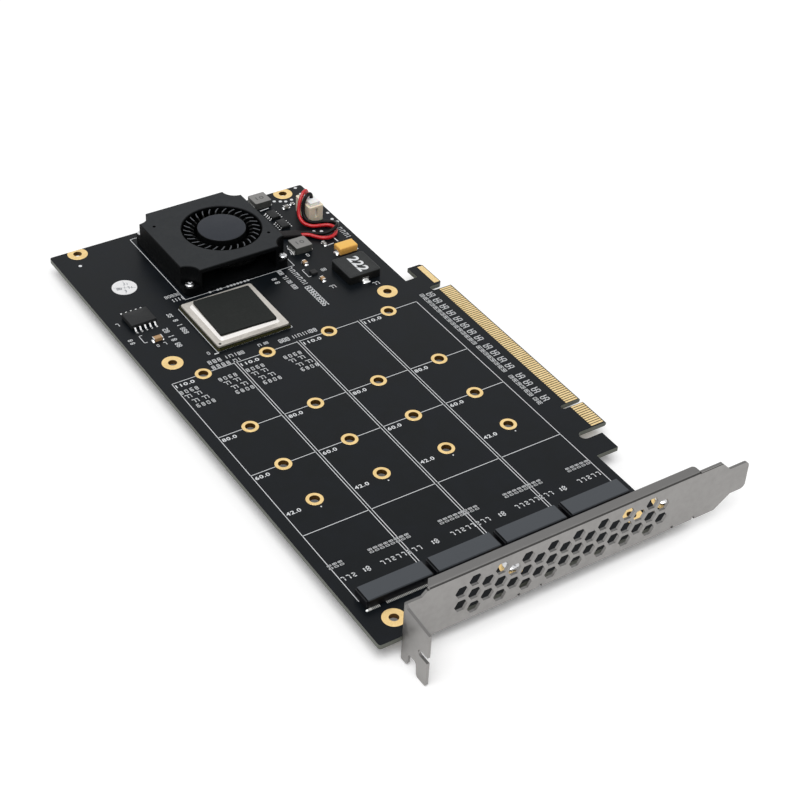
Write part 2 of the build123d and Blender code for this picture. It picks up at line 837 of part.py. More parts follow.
export_step(impeller.part, "parts/impeller.step")

# Steel cup inside the hub
with BuildPart() as rotor_yoke:
    with BuildSketch(wheel.offset(rotor_low)):
        ring(yoke_outer, yoke_outer - yoke_wall)
    extrude(amount=hub_top - hub_cap - rotor_low)
    with BuildSketch(wheel.offset(hub_top - hub_cap - yoke_wall)):
        ring(yoke_outer, shaft_radius + seat_play)
    extrude(amount=yoke_wall)
rotor_yoke.part.label = "rotor_yoke"
export_step(rotor_yoke.part, "parts/rotor_yoke.step")

# Ring magnet in the cup
with BuildPart() as ring_magnet:
    with BuildSketch(wheel.offset(magnet_low)):
        ring(magnet_outer, magnet_inner)
    extrude(amount=magnet_top - magnet_low)
ring_magnet.part.label = "ring_magnet"
export_step(ring_magnet.part, "parts/ring_magnet.step")

# Shaft, fixed in the hub
with BuildPart() as fan_shaft:
    with BuildSketch(wheel.offset(shaft_low)):
        Circle(shaft_radius)
    extrude(amount=hub_top - hub_cap / 2 - shaft_low)
fan_shaft.part.label = "fan_shaft"
export_step(fan_shaft.part, "parts/fan_shaft.step")

# Sleeve bearing in the housing's post
with BuildPart() as fan_bearing:
    with BuildSketch(wheel.offset(blower_floor)):
        ring(bearing_radius, shaft_radius + bearing_play)
    extrude(amount=bearing_top - blower_floor)
fan_bearing.part.label = "fan_bearing"
export_step(fan_bearing.part, "parts/fan_bearing.step")

# Driver board on the housing's floor
with BuildPart() as fan_driver_board:
    with BuildSketch(wheel.offset(blower_floor)):
        ring(driver_radius, post_radius + seat_play)
    extrude(amount=driver_thick)
fan_driver_board.part.label = "fan_driver_board"
export_step(fan_driver_board.part, "parts/fan_driver_board.step")

# Stator: a sleeve on the post, poles and their shoes
with BuildPart() as stator_core:
    with BuildSketch(wheel.offset(stator_low)):
        with PolarLocations(0, pole_count):
            with Locations((stator_outer / 2, 0)):
                Rectangle(stator_outer, pole_wide)
        with PolarLocations(0, pole_count, -pole_shoe_arc / 2):
            with BuildLine(mode=Mode.PRIVATE) as shoe:
                CenterArc((0, 0), stator_outer, 0, pole_shoe_arc)
                CenterArc((0, 0), stator_outer - pole_shoe, 0, pole_shoe_arc)
                Line(polar(stator_outer - pole_shoe, 0), polar(stator_outer, 0))
                Line(polar(stator_outer - pole_shoe, pole_shoe_arc), polar(stator_outer, pole_shoe_arc))
            add(make_face(shoe.line, mode=Mode.PRIVATE))
        Circle(post_radius + seat_play + core_sleeve)
        Circle(post_radius + seat_play, mode=Mode.SUBTRACT)
    extrude(amount=stator_top - stator_low)
stator_core.part.label = "stator_core"
export_step(stator_core.part, "parts/stator_core.step")

# One coil round each pole
coil_middle = (post_radius + seat_play + core_sleeve + stator_outer - pole_shoe) / 2
with BuildPart() as stator_coils:
    with BuildSketch(wheel.offset(stator_low - coil_over)):
        with PolarLocations(coil_middle, pole_count):
            Rectangle(coil_depth, coil_wide)
    extrude(amount=stator_top - stator_low + 2 * coil_over)
    with BuildSketch(wheel.offset(stator_low - seat_play)):
        with PolarLocations(coil_middle, pole_count):
            Rectangle(coil_depth, pole_wide + 2 * seat_play)
    extrude(amount=stator_top - stator_low + 2 * seat_play, mode=Mode.SUBTRACT)
stator_coils.part.label = "stator_coils"
export_step(stator_coils.part, "parts/stator_coils.step")

# Blower screws
with BuildPart() as fan_screws:
    with BuildSketch(blower.offset(-board_thick - blower_screw_below)):
        with GridLocations(2 * screw_half, 2 * screw_half, 2, 2):
            RegularPolygon(blower_screw_radius, screw_side_count)
    extrude(amount=ear_top + board_thick + blower_screw_below)
    with BuildSketch(blower.offset(ear_top)):
        with GridLocations(2 * screw_half, 2 * screw_half, 2, 2):
            RegularPolygon(blower_screw_head, screw_side_count)
    extrude(amount=blower_screw_head_height)
    chamfer(fan_screws.edges().group_by(Axis.Z)[-1], head_bevel)
fan_screws.part.label = "fan_screws"
export_step(fan_screws.part, "parts/fan_screws.step")

# Wire header: an open box with a slot in each end wall
header = Plane((bay_x + header_centre[0], datum_y + header_centre[1], board_top))
with BuildPart() as fan_header:
    with BuildSketch(header):
        RectangleRounded(header_wide, header_long, header_corner)
    extrude(amount=header_height)
    with BuildSketch(header.offset(header_floor)):
        Rectangle(header_wide - 2 * header_wall, header_long - 2 * header_wall)
    extrude(amount=header_height - header_floor, mode=Mode.SUBTRACT)
    with BuildSketch(header.offset(header_slot_low)):
        Rectangle(header_slot_wide, header_long)
    extrude(amount=header_height - header_slot_low - header_wall, mode=Mode.SUBTRACT)
    with BuildSketch(header):
        with GridLocations(pin_pitch, pin_pitch, 1, pin_count):
            Rectangle(pin_side, pin_side)
    extrude(amount=header_floor, mode=Mode.SUBTRACT)
fan_header.part.label = "fan_header"
export_step(fan_header.part, "parts/fan_header.step")

# Header pins, through the board
with BuildPart() as header_pins:
    with BuildSketch(header.offset(-board_thick - pin_below)):
        with GridLocations(pin_pitch, pin_pitch, 1, pin_count):
            Rectangle(pin_side, pin_side)
    extrude(amount=board_thick + pin_below + pin_top)
header_pins.part.label = "header_pins"
export_step(header_pins.part, "parts/header_pins.step")

# White plug of the blower's leads
plug_inset = 2 * (header_wall + plug_play)
with BuildPart() as lead_plug:
    with BuildSketch(header.offset(header_floor)):
        Rectangle(header_wide - plug_inset, header_long - plug_inset)
    extrude(amount=header_height - header_floor + plug_above)
    with BuildSketch(header.offset(header_floor)):
        with GridLocations(pin_pitch, pin_pitch, 1, pin_count):
            Rectangle(pin_side + 2 * plug_pin_play, pin_side + 2 * plug_pin_play)
    extrude(amount=pin_top - header_floor + plug_pin_play, mode=Mode.SUBTRACT)
lead_plug.part.label = "lead_plug"
export_step(lead_plug.part, "parts/lead_plug.step")

# Two leads: straight runs joined by tangent arcs
for label, route in (("fan_lead_red", red_route), ("fan_lead_black", black_route)):
    points = [Vector(bay_x + x, datum_y + y, board_top + z) for x, y, z in route]
    radii = []
    for before, corner, after in zip(points, points[1:], points[2:]):
        half_turn = radians((corner - before).get_angle(after - corner)) / 2
        shorter = min((corner - before).length, (after - corner).length)
        radii.append(lead_bend_share * shorter / tan(half_turn))
    with BuildPart() as lead:
        with BuildLine() as path:
            FilletPolyline(*points, radius=radii)
        with BuildSketch(Plane(points[0], z_dir=points[1] - points[0])):
            RegularPolygon(lead_diameter / 2, lead_side_count)
        sweep()
    length = sum(edge.length for edge in path.edges())
    print(label, "radii", [round(radius, 1) for radius in radii], "length", round(length, 1))
    lead.part.label = label
    export_step(lead.part, f"parts/{label}.step")

# Sleeve over both leads, from the blower's wall
wall_x = bay_x + blower_x + blower_side / 2 + sleeve_seat
wall_y = datum_y + lead_gate_y - sleeve_run * blower_wall / 2
sleeve_end = Plane((wall_x, wall_y, board_top), x_dir=(0, 1, 0), z_dir=(1, 0, 0))
sleeve_inside = lead_diameter + 2 * sleeve_play
sleeve_outside = sleeve_inside + 2 * sleeve_wall
with BuildPart() as lead_sleeve:
    with BuildSketch(sleeve_end):
        with Locations((0, sleeve_outside / 2)):
            SlotCenterToCenter(sleeve_pitch, sleeve_outside)
            SlotCenterToCenter(sleeve_pitch, sleeve_inside, mode=Mode.SUBTRACT)
    extrude(amount=sleeve_long, dir=(1, -sleeve_run, 0))
lead_sleeve.part.label = "lead_sleeve"
export_step(lead_sleeve.part, "parts/lead_sleeve.step")


def at_corner(place):
    """A plane on the board, placed from its far right corner."""
    return Plane((bay_x + board_right + place[0], datum_y + board_far + place[1], board_top))


# Large black inductor
choke_wide, choke_deep, choke_high = choke_size
choke = at_corner(choke_place)
with BuildPart() as power_inductor:
    with BuildSketch(choke.offset(terminal_thick)) as choke_plan:
        Rectangle(choke_wide, choke_deep)
        chamfer(choke_plan.vertices(), choke_corner)
    extrude(amount=choke_high - terminal_thick)
    chamfer(power_inductor.edges().group_by(Axis.Z)[-1], choke_bevel)
power_inductor.part.label = "power_inductor"
export_step(power_inductor.part, "parts/power_inductor.step")

with BuildPart() as power_inductor_terminals:
    for side in (-1, 1):
        with BuildSketch(choke):
            with Locations((0, side * (choke_deep - choke_terminal_reach) / 2)):
                Rectangle(choke_terminal_wide, 3 * choke_terminal_reach)
        extrude(amount=terminal_thick)
        with BuildSketch(choke.offset(terminal_thick)):
            with Locations((0, side * (choke_deep + terminal_thick) / 2)):
                Rectangle(choke_terminal_wide, terminal_thick)
        extrude(amount=choke_terminal_height - terminal_thick)
power_inductor_terminals.part.label = "power_inductor_terminals"
export_step(power_inductor_terminals.part, "parts/power_inductor_terminals.step")

# Two grey inductors on flat terminals
coil_wide_x, coil_wide_y, coil_high = coil_block_size
with BuildPart() as small_inductors:
    for place in coil_block_places:
        with BuildSketch(at_corner(place).offset(terminal_thick)) as coil_plan:
            Rectangle(coil_wide_x, coil_wide_y)
            chamfer(coil_plan.vertices(), coil_block_corner)
        extrude(amount=coil_high - terminal_thick)
small_inductors.part.label = "small_inductors"
export_step(small_inductors.part, "parts/small_inductors.step")

with BuildPart() as small_inductor_terminals:
    for place in coil_block_places:
        for side in (-1, 1):
            with BuildSketch(at_corner(place)):
                with Locations((side * (coil_wide_x - coil_block_terminal_reach) / 2, 0)):
                    Rectangle(3 * coil_block_terminal_reach, coil_block_terminal_wide)
            extrude(amount=terminal_thick)
            with BuildSketch(at_corner(place).offset(terminal_thick)):
                with Locations((side * (coil_wide_x + terminal_thick) / 2, 0)):
                    Rectangle(terminal_thick, coil_block_terminal_wide)
            extrude(amount=coil_block_terminal_height - terminal_thick)
small_inductor_terminals.part.label = "small_inductor_terminals"
export_step(small_inductor_terminals.part, "parts/small_inductor_terminals.step")

# Orange tantalum capacitor on folded terminals
tantalum_wide, tantalum_deep, tantalum_high = tantalum_size
tantalum = at_corner(tantalum_place)
with BuildPart() as tantalum_capacitor:
    with BuildSketch(tantalum.offset(terminal_thick)):
        Rectangle(tantalum_wide, tantalum_deep)
    extrude(amount=tantalum_high - terminal_thick)
    chamfer(tantalum_capacitor.edges().group_by(Axis.Z)[-1], tantalum_bevel)
tantalum_capacitor.part.label = "tantalum_capacitor"
export_step(tantalum_capacitor.part, "parts/tantalum_capacitor.step")

with BuildPart() as tantalum_terminals:
    for side in (-1, 1):
        with BuildSketch(tantalum):
            with Locations((side * (tantalum_wide - tantalum_terminal_height) / 2, 0)):
                Rectangle(tantalum_terminal_height, tantalum_terminal_wide)
        extrude(amount=terminal_thick)
        with BuildSketch(tantalum):
            with Locations((side * (tantalum_wide + terminal_thick) / 2, 0)):
                Rectangle(terminal_thick, tantalum_terminal_wide)
        extrude(amount=tantalum_terminal_height)
tantalum_terminals.part.label = "tantalum_terminals"
export_step(tantalum_terminals.part, "parts/tantalum_terminals.step")


def gull_section(lead_plane, half_body, reach, height):
    """Section of a bent lead: out of the body, down and along the board."""
    foot = reach * gull_foot_share
    with BuildSketch(lead_plane, mode=Mode.PRIVATE) as section:
        with BuildLine():
            Polyline(
                (half_body, height),
                (half_body + reach - foot, height),
                (half_body + reach - foot, gull_thick),
                (half_body + reach, gull_thick),
                (half_body + reach, 0),
                (half_body + reach - foot - gull_thick, 0),
                (half_body + reach - foot - gull_thick, height - gull_thick),
                (half_body, height - gull_thick),
                close=True,
            )
        make_face()
    return section.sketch


# Two regulator chips and their leads
regulator_wide, regulator_deep, regulator_high = regulator_size
with BuildPart() as regulator_chips:
    for place in regulator_places:
        with BuildSketch(at_corner(place).offset(body_standoff)):
            Rectangle(regulator_wide, regulator_deep)
        extrude(amount=regulator_high - body_standoff, taper=mould_draft)
regulator_chips.part.label = "regulator_chips"
export_step(regulator_chips.part, "parts/regulator_chips.step")

with BuildPart() as regulator_leads_part:
    for place in regulator_places:
        middle = at_corner(place)
        for side in (-1, 1):
            for n in range(regulator_lead_count):
                along = (n - (regulator_lead_count - 1) / 2) * regulator_lead_pitch
                spot = middle.origin + Vector(0, along, 0)
                lead_plane = Plane(spot, x_dir=(side, 0, 0), z_dir=(0, -side, 0))
                half_high = regulator_high / 2
                section = gull_section(lead_plane, regulator_wide / 2, regulator_lead_reach, half_high)
                extrude(section, amount=regulator_lead_wide / 2, both=True)
regulator_leads_part.part.label = "regulator_leads"
export_step(regulator_leads_part.part, "parts/regulator_leads.step")

# Memory chip and its leads
memory_wide, memory_deep, memory_high = memory_size
memory = Plane((bay_x + memory_x, datum_y + bays_end + memory_gap_to_bays, board_top))
with BuildPart() as memory_chip:
    with BuildSketch(memory.offset(body_standoff)):
        Rectangle(memory_wide, memory_deep)
    extrude(amount=memory_high - body_standoff, taper=mould_draft)
memory_chip.part.label = "memory_chip"
export_step(memory_chip.part, "parts/memory_chip.step")

with BuildPart() as memory_leads:
    for side in (-1, 1):
        for n in range(memory_lead_count):
            along = (n - (memory_lead_count - 1) / 2) * memory_lead_pitch
            spot = memory.origin + Vector(along, 0, 0)
            lead_plane = Plane(spot, x_dir=(0, side, 0), z_dir=(side, 0, 0))
            section = gull_section(lead_plane, memory_deep / 2, memory_lead_reach, memory_high / 2)
            extrude(section, amount=memory_lead_wide / 2, both=True)
memory_leads.part.label = "memory_leads"
export_step(memory_leads.part, "parts/memory_leads.step")

# Ceramic capacitors and their plated ends
with BuildPart() as ceramic_capacitors:
    for wide, deep, high, x, y in ceramic_bodies:
        with BuildSketch(card):
            with Locations((x, bays_end + y)):
                if wide > deep:
                    Rectangle(wide - 2 * plated_end, deep)
                else:
                    Rectangle(wide, deep - 2 * plated_end)
        extrude(amount=high)
ceramic_capacitors.part.label = "ceramic_capacitors"
export_step(ceramic_capacitors.part, "parts/ceramic_capacitors.step")

with BuildPart() as capacitor_ends:
    for wide, deep, high, x, y in ceramic_bodies:
        with BuildSketch(card):
            with Locations((x, bays_end + y)):
                if wide > deep:
                    with GridLocations(wide - plated_end, 1, 2, 1):
                        Rectangle(plated_end, deep)
                else:
                    with GridLocations(1, deep - plated_end, 1, 2):
                        Rectangle(wide, plated_end)
        extrude(amount=high)
capacitor_ends.part.label = "capacitor_ends"
export_step(capacitor_ends.part, "parts/capacitor_ends.step")

# Small flat chip
flat_wide, flat_deep, flat_high = flat_chip_size
with BuildPart() as flat_chip:
    with BuildSketch(card):
        with Locations((flat_chip_place[0], bays_end + flat_chip_place[1])):
            Rectangle(flat_wide, flat_deep)
    extrude(amount=flat_high)
flat_chip.part.label = "flat_chip"
export_step(flat_chip.part, "parts/flat_chip.step")

# Capacitors on the underside, below the switch chip
under_wide, under_deep, under_high = under_cap_size
with BuildPart() as underside_capacitors:
    with BuildSketch(chip.offset(-board_thick)):
        with GridLocations(under_cap_pitch, under_cap_pitch, under_cap_column_count, under_cap_row_count):
            Rectangle(under_wide, under_deep)
    extrude(amount=-under_high)
underside_capacitors.part.label = "underside_capacitors"
export_step(underside_capacitors.part, "parts/underside_capacitors.step")

# Round sticker
with BuildPart() as sticker:
    with BuildSketch(card):
        with Locations((sticker_x, bays_end + sticker_gap_to_bays)):
            Circle(sticker_radius)
    extrude(amount=sticker_thick)
sticker.part.label = "sticker"
export_step(sticker.part, "parts/sticker.step")
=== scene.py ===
from math import cos, pi, radians, sin

import bmesh
import bpy
import numpy as np
from mathutils import Euler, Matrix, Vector


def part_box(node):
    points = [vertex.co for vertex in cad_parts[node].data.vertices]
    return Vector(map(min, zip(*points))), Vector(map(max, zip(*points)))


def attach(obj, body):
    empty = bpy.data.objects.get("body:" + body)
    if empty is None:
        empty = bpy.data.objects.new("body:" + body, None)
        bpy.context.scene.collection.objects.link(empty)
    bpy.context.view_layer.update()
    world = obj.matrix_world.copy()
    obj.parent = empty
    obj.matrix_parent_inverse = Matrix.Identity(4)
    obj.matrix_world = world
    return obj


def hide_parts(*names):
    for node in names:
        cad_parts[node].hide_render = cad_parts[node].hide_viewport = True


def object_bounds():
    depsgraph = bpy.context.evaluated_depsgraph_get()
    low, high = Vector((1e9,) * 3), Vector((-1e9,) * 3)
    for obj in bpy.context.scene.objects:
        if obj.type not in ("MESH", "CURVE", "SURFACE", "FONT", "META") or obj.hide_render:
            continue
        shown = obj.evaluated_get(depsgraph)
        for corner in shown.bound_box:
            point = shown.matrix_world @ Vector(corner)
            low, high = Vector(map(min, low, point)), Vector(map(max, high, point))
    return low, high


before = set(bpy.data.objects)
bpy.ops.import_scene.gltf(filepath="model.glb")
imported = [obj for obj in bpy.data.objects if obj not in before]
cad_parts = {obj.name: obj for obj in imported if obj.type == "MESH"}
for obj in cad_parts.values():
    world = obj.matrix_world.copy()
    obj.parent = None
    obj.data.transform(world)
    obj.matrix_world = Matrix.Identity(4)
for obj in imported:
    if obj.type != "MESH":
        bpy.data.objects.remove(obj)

cad_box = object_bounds()

# Places are in millimetres from the middle of the four bays, the drive sockets' line and the board's face
MM = 0.001
DRIVE_LENGTHS = (42.0, 60.0, 80.0, 110.0)
DRIVE_RING = 2.65
BAY_PITCH = 23.0
BAYS = tuple((place - 1.5) * BAY_PITCH for place in range(4))
BOARD_FAR = 192.1
BOARD_THICK = 1.57
pads_low, pads_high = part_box("drive_pads")
card_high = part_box("board")[1]
ORIGIN = np.array([(pads_low.x + pads_high.x) / 2, card_high.y - BOARD_FAR * MM, card_high.z])


def extent(node):
    """Lowest and highest corner of a CAD node, in the card's millimetres."""
    return tuple((np.array(corner) - ORIGIN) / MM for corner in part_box(node))


def centre(node):
    """The middle of a CAD node, in the card's millimetres."""
    low, high = extent(node)
    return (low + high) / 2


def placed(points):
    """Points in the card's millimetres as metres in the frame."""
    return np.asarray(points, float) * MM + ORIGIN


# Camera, fitted to the photograph
CAMERA_PLACE = (-236.17, -284.83, 342.07)
CAMERA_HEADING = 35.094
CAMERA_DROP = 38.393
CAMERA_ROLL = 3.424
CAMERA_LENS = 79.957


def make_camera():
    """The camera at the photograph's place, turned by its heading, drop and roll."""
    data = bpy.data.cameras.new("camera")
    data.lens = CAMERA_LENS
    data.sensor_width = 36
    data.clip_start = 0.01
    camera = bpy.data.objects.new("camera", data)
    bpy.context.collection.objects.link(camera)
    turn = Euler((0, 0, radians(-CAMERA_HEADING))).to_matrix()
    turn = turn @ Euler((radians(90 - CAMERA_DROP), 0, 0)).to_matrix()
    turn = turn @ Euler((0, 0, radians(CAMERA_ROLL))).to_matrix()
    camera.matrix_world = turn.to_4x4()
    camera.location = Vector(placed(CAMERA_PLACE))
    bpy.context.scene.camera = camera


# Colours are written as they look, from 0 to 255


def tone(red, green, blue):
    """A colour from screen values to the linear values that a shader takes."""
    share = np.array([red, green, blue]) / 255
    linear = np.where(share <= 0.04045, share / 12.92, ((share + 0.055) / 1.055) ** 2.4)
    return (*linear, 1.0)


def feed(tree, source, target):
    """Sets an input to a plain value, or links it where the source is another node's output."""
    if isinstance(source, bpy.types.NodeSocket):
        tree.links.new(source, target)
    else:
        target.default_value = source


def add_node(tree, kind, *sources, **values):
    """A node of a kind. Values go to its settings or inputs by name, and sources to its inputs in order."""
    node = tree.nodes.new(kind)
    for name, value in values.items():
        if hasattr(node, name):
            setattr(node, name, value)
        else:
            feed(tree, value, node.inputs[name.replace("_", " ")])
    for source, target in zip(sources, node.inputs):
        feed(tree, source, target)
    return node


def worked_out(tree, operation, *sources):
    """The output of a Math node on sockets or numbers."""
    return add_node(tree, "ShaderNodeMath", *sources, operation=operation).outputs[0]


def effect(name, inputs, outputs):
    """An empty shader group with named sockets, and the sockets at its two ends inside."""
    group = bpy.data.node_groups.new(name, "ShaderNodeTree")
    for socket, kind, value in inputs:
        made = group.interface.new_socket(socket, in_out="INPUT", socket_type=kind)
        made.default_value = value
    for socket, kind in outputs:
        group.interface.new_socket(socket, in_out="OUTPUT", socket_type=kind)
    return group, group.nodes.new("NodeGroupInput").outputs, group.nodes.new("NodeGroupOutput").inputs


VALUE = "NodeSocketFloat"
COLOUR = "NodeSocketColor"


def make_cloud():
    """Two colours mixed by soft noise, with a finer noise on it."""
    group, start, end = effect(
        "cloud",
        [("Low", COLOUR, (0, 0, 0, 1)), ("High", COLOUR, (1, 1, 1, 1)), ("Scale", VALUE, 100.0)],
        [("Colour", COLOUR), ("Mask", VALUE)],
    )
    place = add_node(group, "ShaderNodeTexCoord").outputs["Object"]
    finer = worked_out(group, "MULTIPLY", start["Scale"], 7.0)
    coarse = add_node(group, "ShaderNodeTexNoise", Vector=place, Scale=start["Scale"], Detail=3.0,
                      Roughness=0.6)
    fine = add_node(group, "ShaderNodeTexNoise", Vector=place, Scale=finer, Detail=2.0)
    both = worked_out(group, "ADD", coarse.outputs["Fac"], fine.outputs["Fac"])
    spread = add_node(group, "ShaderNodeMapRange", Value=both, From_Min=0.75, From_Max=1.25)
    share = spread.outputs["Result"]
    mix = add_node(group, "ShaderNodeMix", data_type="RGBA", Factor=share, A=start["Low"], B=start["High"])
    group.links.new(mix.outputs["Result"], end["Colour"])
    group.links.new(share, end["Mask"])
    return group


def make_grain():
    """Moulded or rolled grain: noise stretched along X by a factor, as a height from 0 to 1."""
    sockets = [("Scale", VALUE, 2000.0), ("Stretch", VALUE, 1.0)]
    group, start, end = effect("grain", sockets, [("Height", VALUE)])
    place = add_node(group, "ShaderNodeTexCoord").outputs["Object"]
    parts = add_node(group, "ShaderNodeSeparateXYZ", place).outputs
    narrow = worked_out(group, "DIVIDE", parts["X"], start["Stretch"])
    whole = add_node(group, "ShaderNodeCombineXYZ", narrow, parts["Y"], parts["Z"]).outputs[0]
    noise = add_node(group, "ShaderNodeTexNoise", Vector=whole, Scale=start["Scale"], Detail=2.0,
                     Roughness=0.55)
    group.links.new(noise.outputs["Fac"], end["Height"])
    return group


def make_facing_up():
    """How far a face looks up: 0 on a side or below, 1 on a top."""
    group, _, end = effect("facing_up", [], [("Mask", VALUE)])
    outward = add_node(group, "ShaderNodeTexCoord").outputs["Normal"]
    upward = add_node(group, "ShaderNodeSeparateXYZ", outward).outputs["Z"]
    spread = add_node(group, "ShaderNodeMapRange", interpolation_type="SMOOTHSTEP", Value=upward,
                      From_Min=0.35, From_Max=0.95)
    group.links.new(spread.outputs["Result"], end["Mask"])
    return group


def make_between():
    """1 between two heights of the card, in metres, and 0 above and below."""
    group, start, end = effect("between", [("Low", VALUE, 0.0), ("High", VALUE, 1.0)], [("Mask", VALUE)])
    place = add_node(group, "ShaderNodeTexCoord").outputs["Object"]
    height = add_node(group, "ShaderNodeSeparateXYZ", place).outputs["Z"]
    above = worked_out(group, "GREATER_THAN", height, start["Low"])
    below = worked_out(group, "LESS_THAN", height, start["High"])
    group.links.new(worked_out(group, "MULTIPLY", above, below), end["Mask"])
    return group


cloud, grain, facing_up, between = make_cloud(), make_grain(), make_facing_up(), make_between()


def placed_group(tree, group, **values):
    """The outputs of an effect that is placed in a material with its own values."""
    return add_node(tree, "ShaderNodeGroup", node_tree=group, **values).outputs


def finish(name, low, high, patch=8.0, rough=(0.35, 0.5), grain_size=0.25, grain_depth=0.004,
           stretch=1.0, **sockets):
    """A material: two close colours in soft patches, uneven gloss and a fine grain. Sizes are in
    millimetres, and sockets are set on the shader itself."""
    material = bpy.data.materials.new(name)
    material.use_nodes = True
    tree = material.node_tree
    patches = placed_group(tree, cloud, Low=tone(*low), High=tone(*high), Scale=1 / (patch * MM))
    gloss = add_node(tree, "ShaderNodeMapRange", Value=patches["Mask"], To_Min=rough[0], To_Max=rough[1])
    texture = placed_group(tree, grain, Scale=1 / (grain_size * MM), Stretch=stretch)
    bump = add_node(tree, "ShaderNodeBump", Strength=1.0, Distance=grain_depth * MM,
                    Height=texture["Height"])
    sockets["Base_Color"] = patches["Colour"]
    sockets["Roughness"] = gloss.outputs["Result"]
    sockets["Normal"] = bump.outputs["Normal"]
    for socket, source in sockets.items():
        feed(tree, source, tree.nodes["Principled BSDF"].inputs[socket.replace("_", " ")])
    return material


def over(material, mask, colour):
    """Puts a second colour over a finish's own where the mask, an output socket, is 1."""
    tree = material.node_tree
    base = tree.nodes["Principled BSDF"].inputs["Base Color"]
    below = base.links[0].from_socket
    mix = add_node(tree, "ShaderNodeMix", data_type="RGBA", Factor=mask, A=below, B=tone(*colour))
    tree.links.new(mix.outputs["Result"], base)


def metal(name, low, high, **values):
    """A finish with a metal's reflection."""
    return finish(name, low, high, Metallic=1.0, **values)


# Finishes
mask_finish = finish("solder_mask", (11, 15, 18), (14, 18, 23), patch=30, rough=(0.3, 0.4),
                     grain_size=0.4, grain_depth=0.001, Specular_IOR_Level=0.12)
gold = metal("gold_plating", (232, 200, 138), (244, 214, 154), patch=3, rough=(0.3, 0.42))
contact_gold = metal("contact_gold", (228, 200, 144), (246, 220, 166), patch=4, rough=(0.25, 0.35),
                      grain_depth=0.001)
# The holes' linings: gold painted down to dark brown, painted shade inside the holes
barrel_gold = finish("barrel_gold", (82, 54, 20), (140, 102, 48), patch=0.6, rough=(0.3, 0.4),
                     Metallic=0.4)
bracket_steel = metal("bracket_steel", (150, 148, 146), (160, 158, 156), patch=14, rough=(0.3, 0.4),
                      grain_size=0.12, grain_depth=0.002, stretch=14.0)
screw_steel = metal("screw_steel", (196, 197, 198), (222, 222, 224), patch=1, rough=(0.2, 0.3))
socket_plastic = finish("socket_plastic", (14, 15, 18), (18, 19, 23), patch=4, rough=(0.3, 0.4),
                        Specular_IOR_Level=0.3)
tin = metal("tin_plating", (206, 206, 204), (232, 232, 230), patch=0.6, rough=(0.2, 0.35))
spring_tin = finish("spring_tin", (214, 214, 210), (238, 238, 234), patch=0.6, rough=(0.3, 0.4),
                    Metallic=0.35)
solder = metal("solder", (220, 221, 222), (240, 240, 240), patch=0.5, rough=(0.15, 0.3))
substrate_finish = finish("substrate", (24, 24, 13), (34, 34, 18), patch=3, rough=(0.4, 0.5),
                          grain_depth=0.001, Specular_IOR_Level=0.2)
lid_metal = finish("lid_metal", (196, 191, 184), (204, 200, 193), patch=9, rough=(0.35, 0.42),
                   grain_size=0.3, grain_depth=0.0002, Metallic=0.3)
pad_rubber = finish("pad_rubber", (33, 35, 34), (36, 38, 37), patch=7, rough=(0.6, 0.8),
                    grain_size=0.15, grain_depth=0.004, Specular_IOR_Level=0.12)
fan_plastic = finish("fan_plastic", (3, 4, 5), (5, 6, 7), patch=9, rough=(0.45, 0.6),
                     grain_size=0.15, grain_depth=0.004, Specular_IOR_Level=0.08)
wheel_plastic = finish("wheel_plastic", (6, 7, 7), (8, 9, 10), patch=4, rough=(0.4, 0.5),
                       grain_size=0.15, grain_depth=0.003, Specular_IOR_Level=0.12)
inner_steel = metal("inner_steel", (150, 150, 152), (172, 172, 174), patch=2)
magnet_finish = finish("magnet", (52, 48, 46), (64, 60, 57), patch=2, rough=(0.5, 0.7))
bearing_brass = metal("bearing_brass", (176, 140, 76), (196, 160, 92), patch=1)
driver_finish = finish("driver_mask", (24, 62, 38), (30, 74, 46), patch=3)
copper = metal("copper_wire", (168, 88, 50), (196, 108, 66), patch=0.5, grain_size=0.2, grain_depth=0.02)
header_plastic = finish("header_plastic", (232, 219, 194), (242, 230, 208), patch=3, rough=(0.35, 0.5),
                        Subsurface_Weight=0.15, Subsurface_Scale=0.5 * MM)
plug_plastic = finish("plug_plastic", (246, 246, 245), (253, 253, 252), patch=3, rough=(0.3, 0.45),
                      Subsurface_Weight=0.15, Subsurface_Scale=0.5 * MM)
red_insulation = finish("red_insulation", (190, 14, 24), (206, 22, 32), patch=2, rough=(0.22, 0.34),
                        grain_depth=0.002)
black_insulation = finish("black_insulation", (7, 6, 7), (11, 9, 10), patch=2, rough=(0.35, 0.45),
                          grain_depth=0.002, Specular_IOR_Level=0.15)
sleeve_rubber = finish("sleeve_rubber", (22, 20, 21), (30, 27, 28), patch=1.5, rough=(0.5, 0.7),
                       grain_size=0.3, grain_depth=0.01, stretch=4.0, Specular_IOR_Level=0.2)
black_moulding = finish("black_moulding", (27, 28, 29), (33, 34, 35), patch=1.5, rough=(0.45, 0.6),
                        grain_size=0.1, grain_depth=0.006, Specular_IOR_Level=0.25)
choke_moulding = finish("choke_moulding", (5, 6, 6), (8, 9, 9), patch=2, rough=(0.4, 0.55),
                        grain_size=0.15, grain_depth=0.01, Specular_IOR_Level=0.25)
powder_grey = finish("powder_grey", (56, 58, 56), (72, 73, 70), patch=0.5, rough=(0.45, 0.6),
                     grain_size=0.15, grain_depth=0.02)
orange_moulding = finish("orange_moulding", (240, 176, 84), (248, 188, 96), patch=1.5, rough=(0.3, 0.45),
                         grain_size=0.2, grain_depth=0.004)
ceramic_brown = finish("ceramic_body", (164, 128, 88), (182, 146, 104), patch=0.5, rough=(0.3, 0.45))
ceramic_grey = finish("ceramic_grey", (128, 126, 122), (148, 146, 142), patch=0.5, rough=(0.35, 0.5))
paper = finish("sticker_paper", (232, 232, 233), (240, 240, 241), patch=2, rough=(0.5, 0.6),
               grain_size=0.1, grain_depth=0.003)
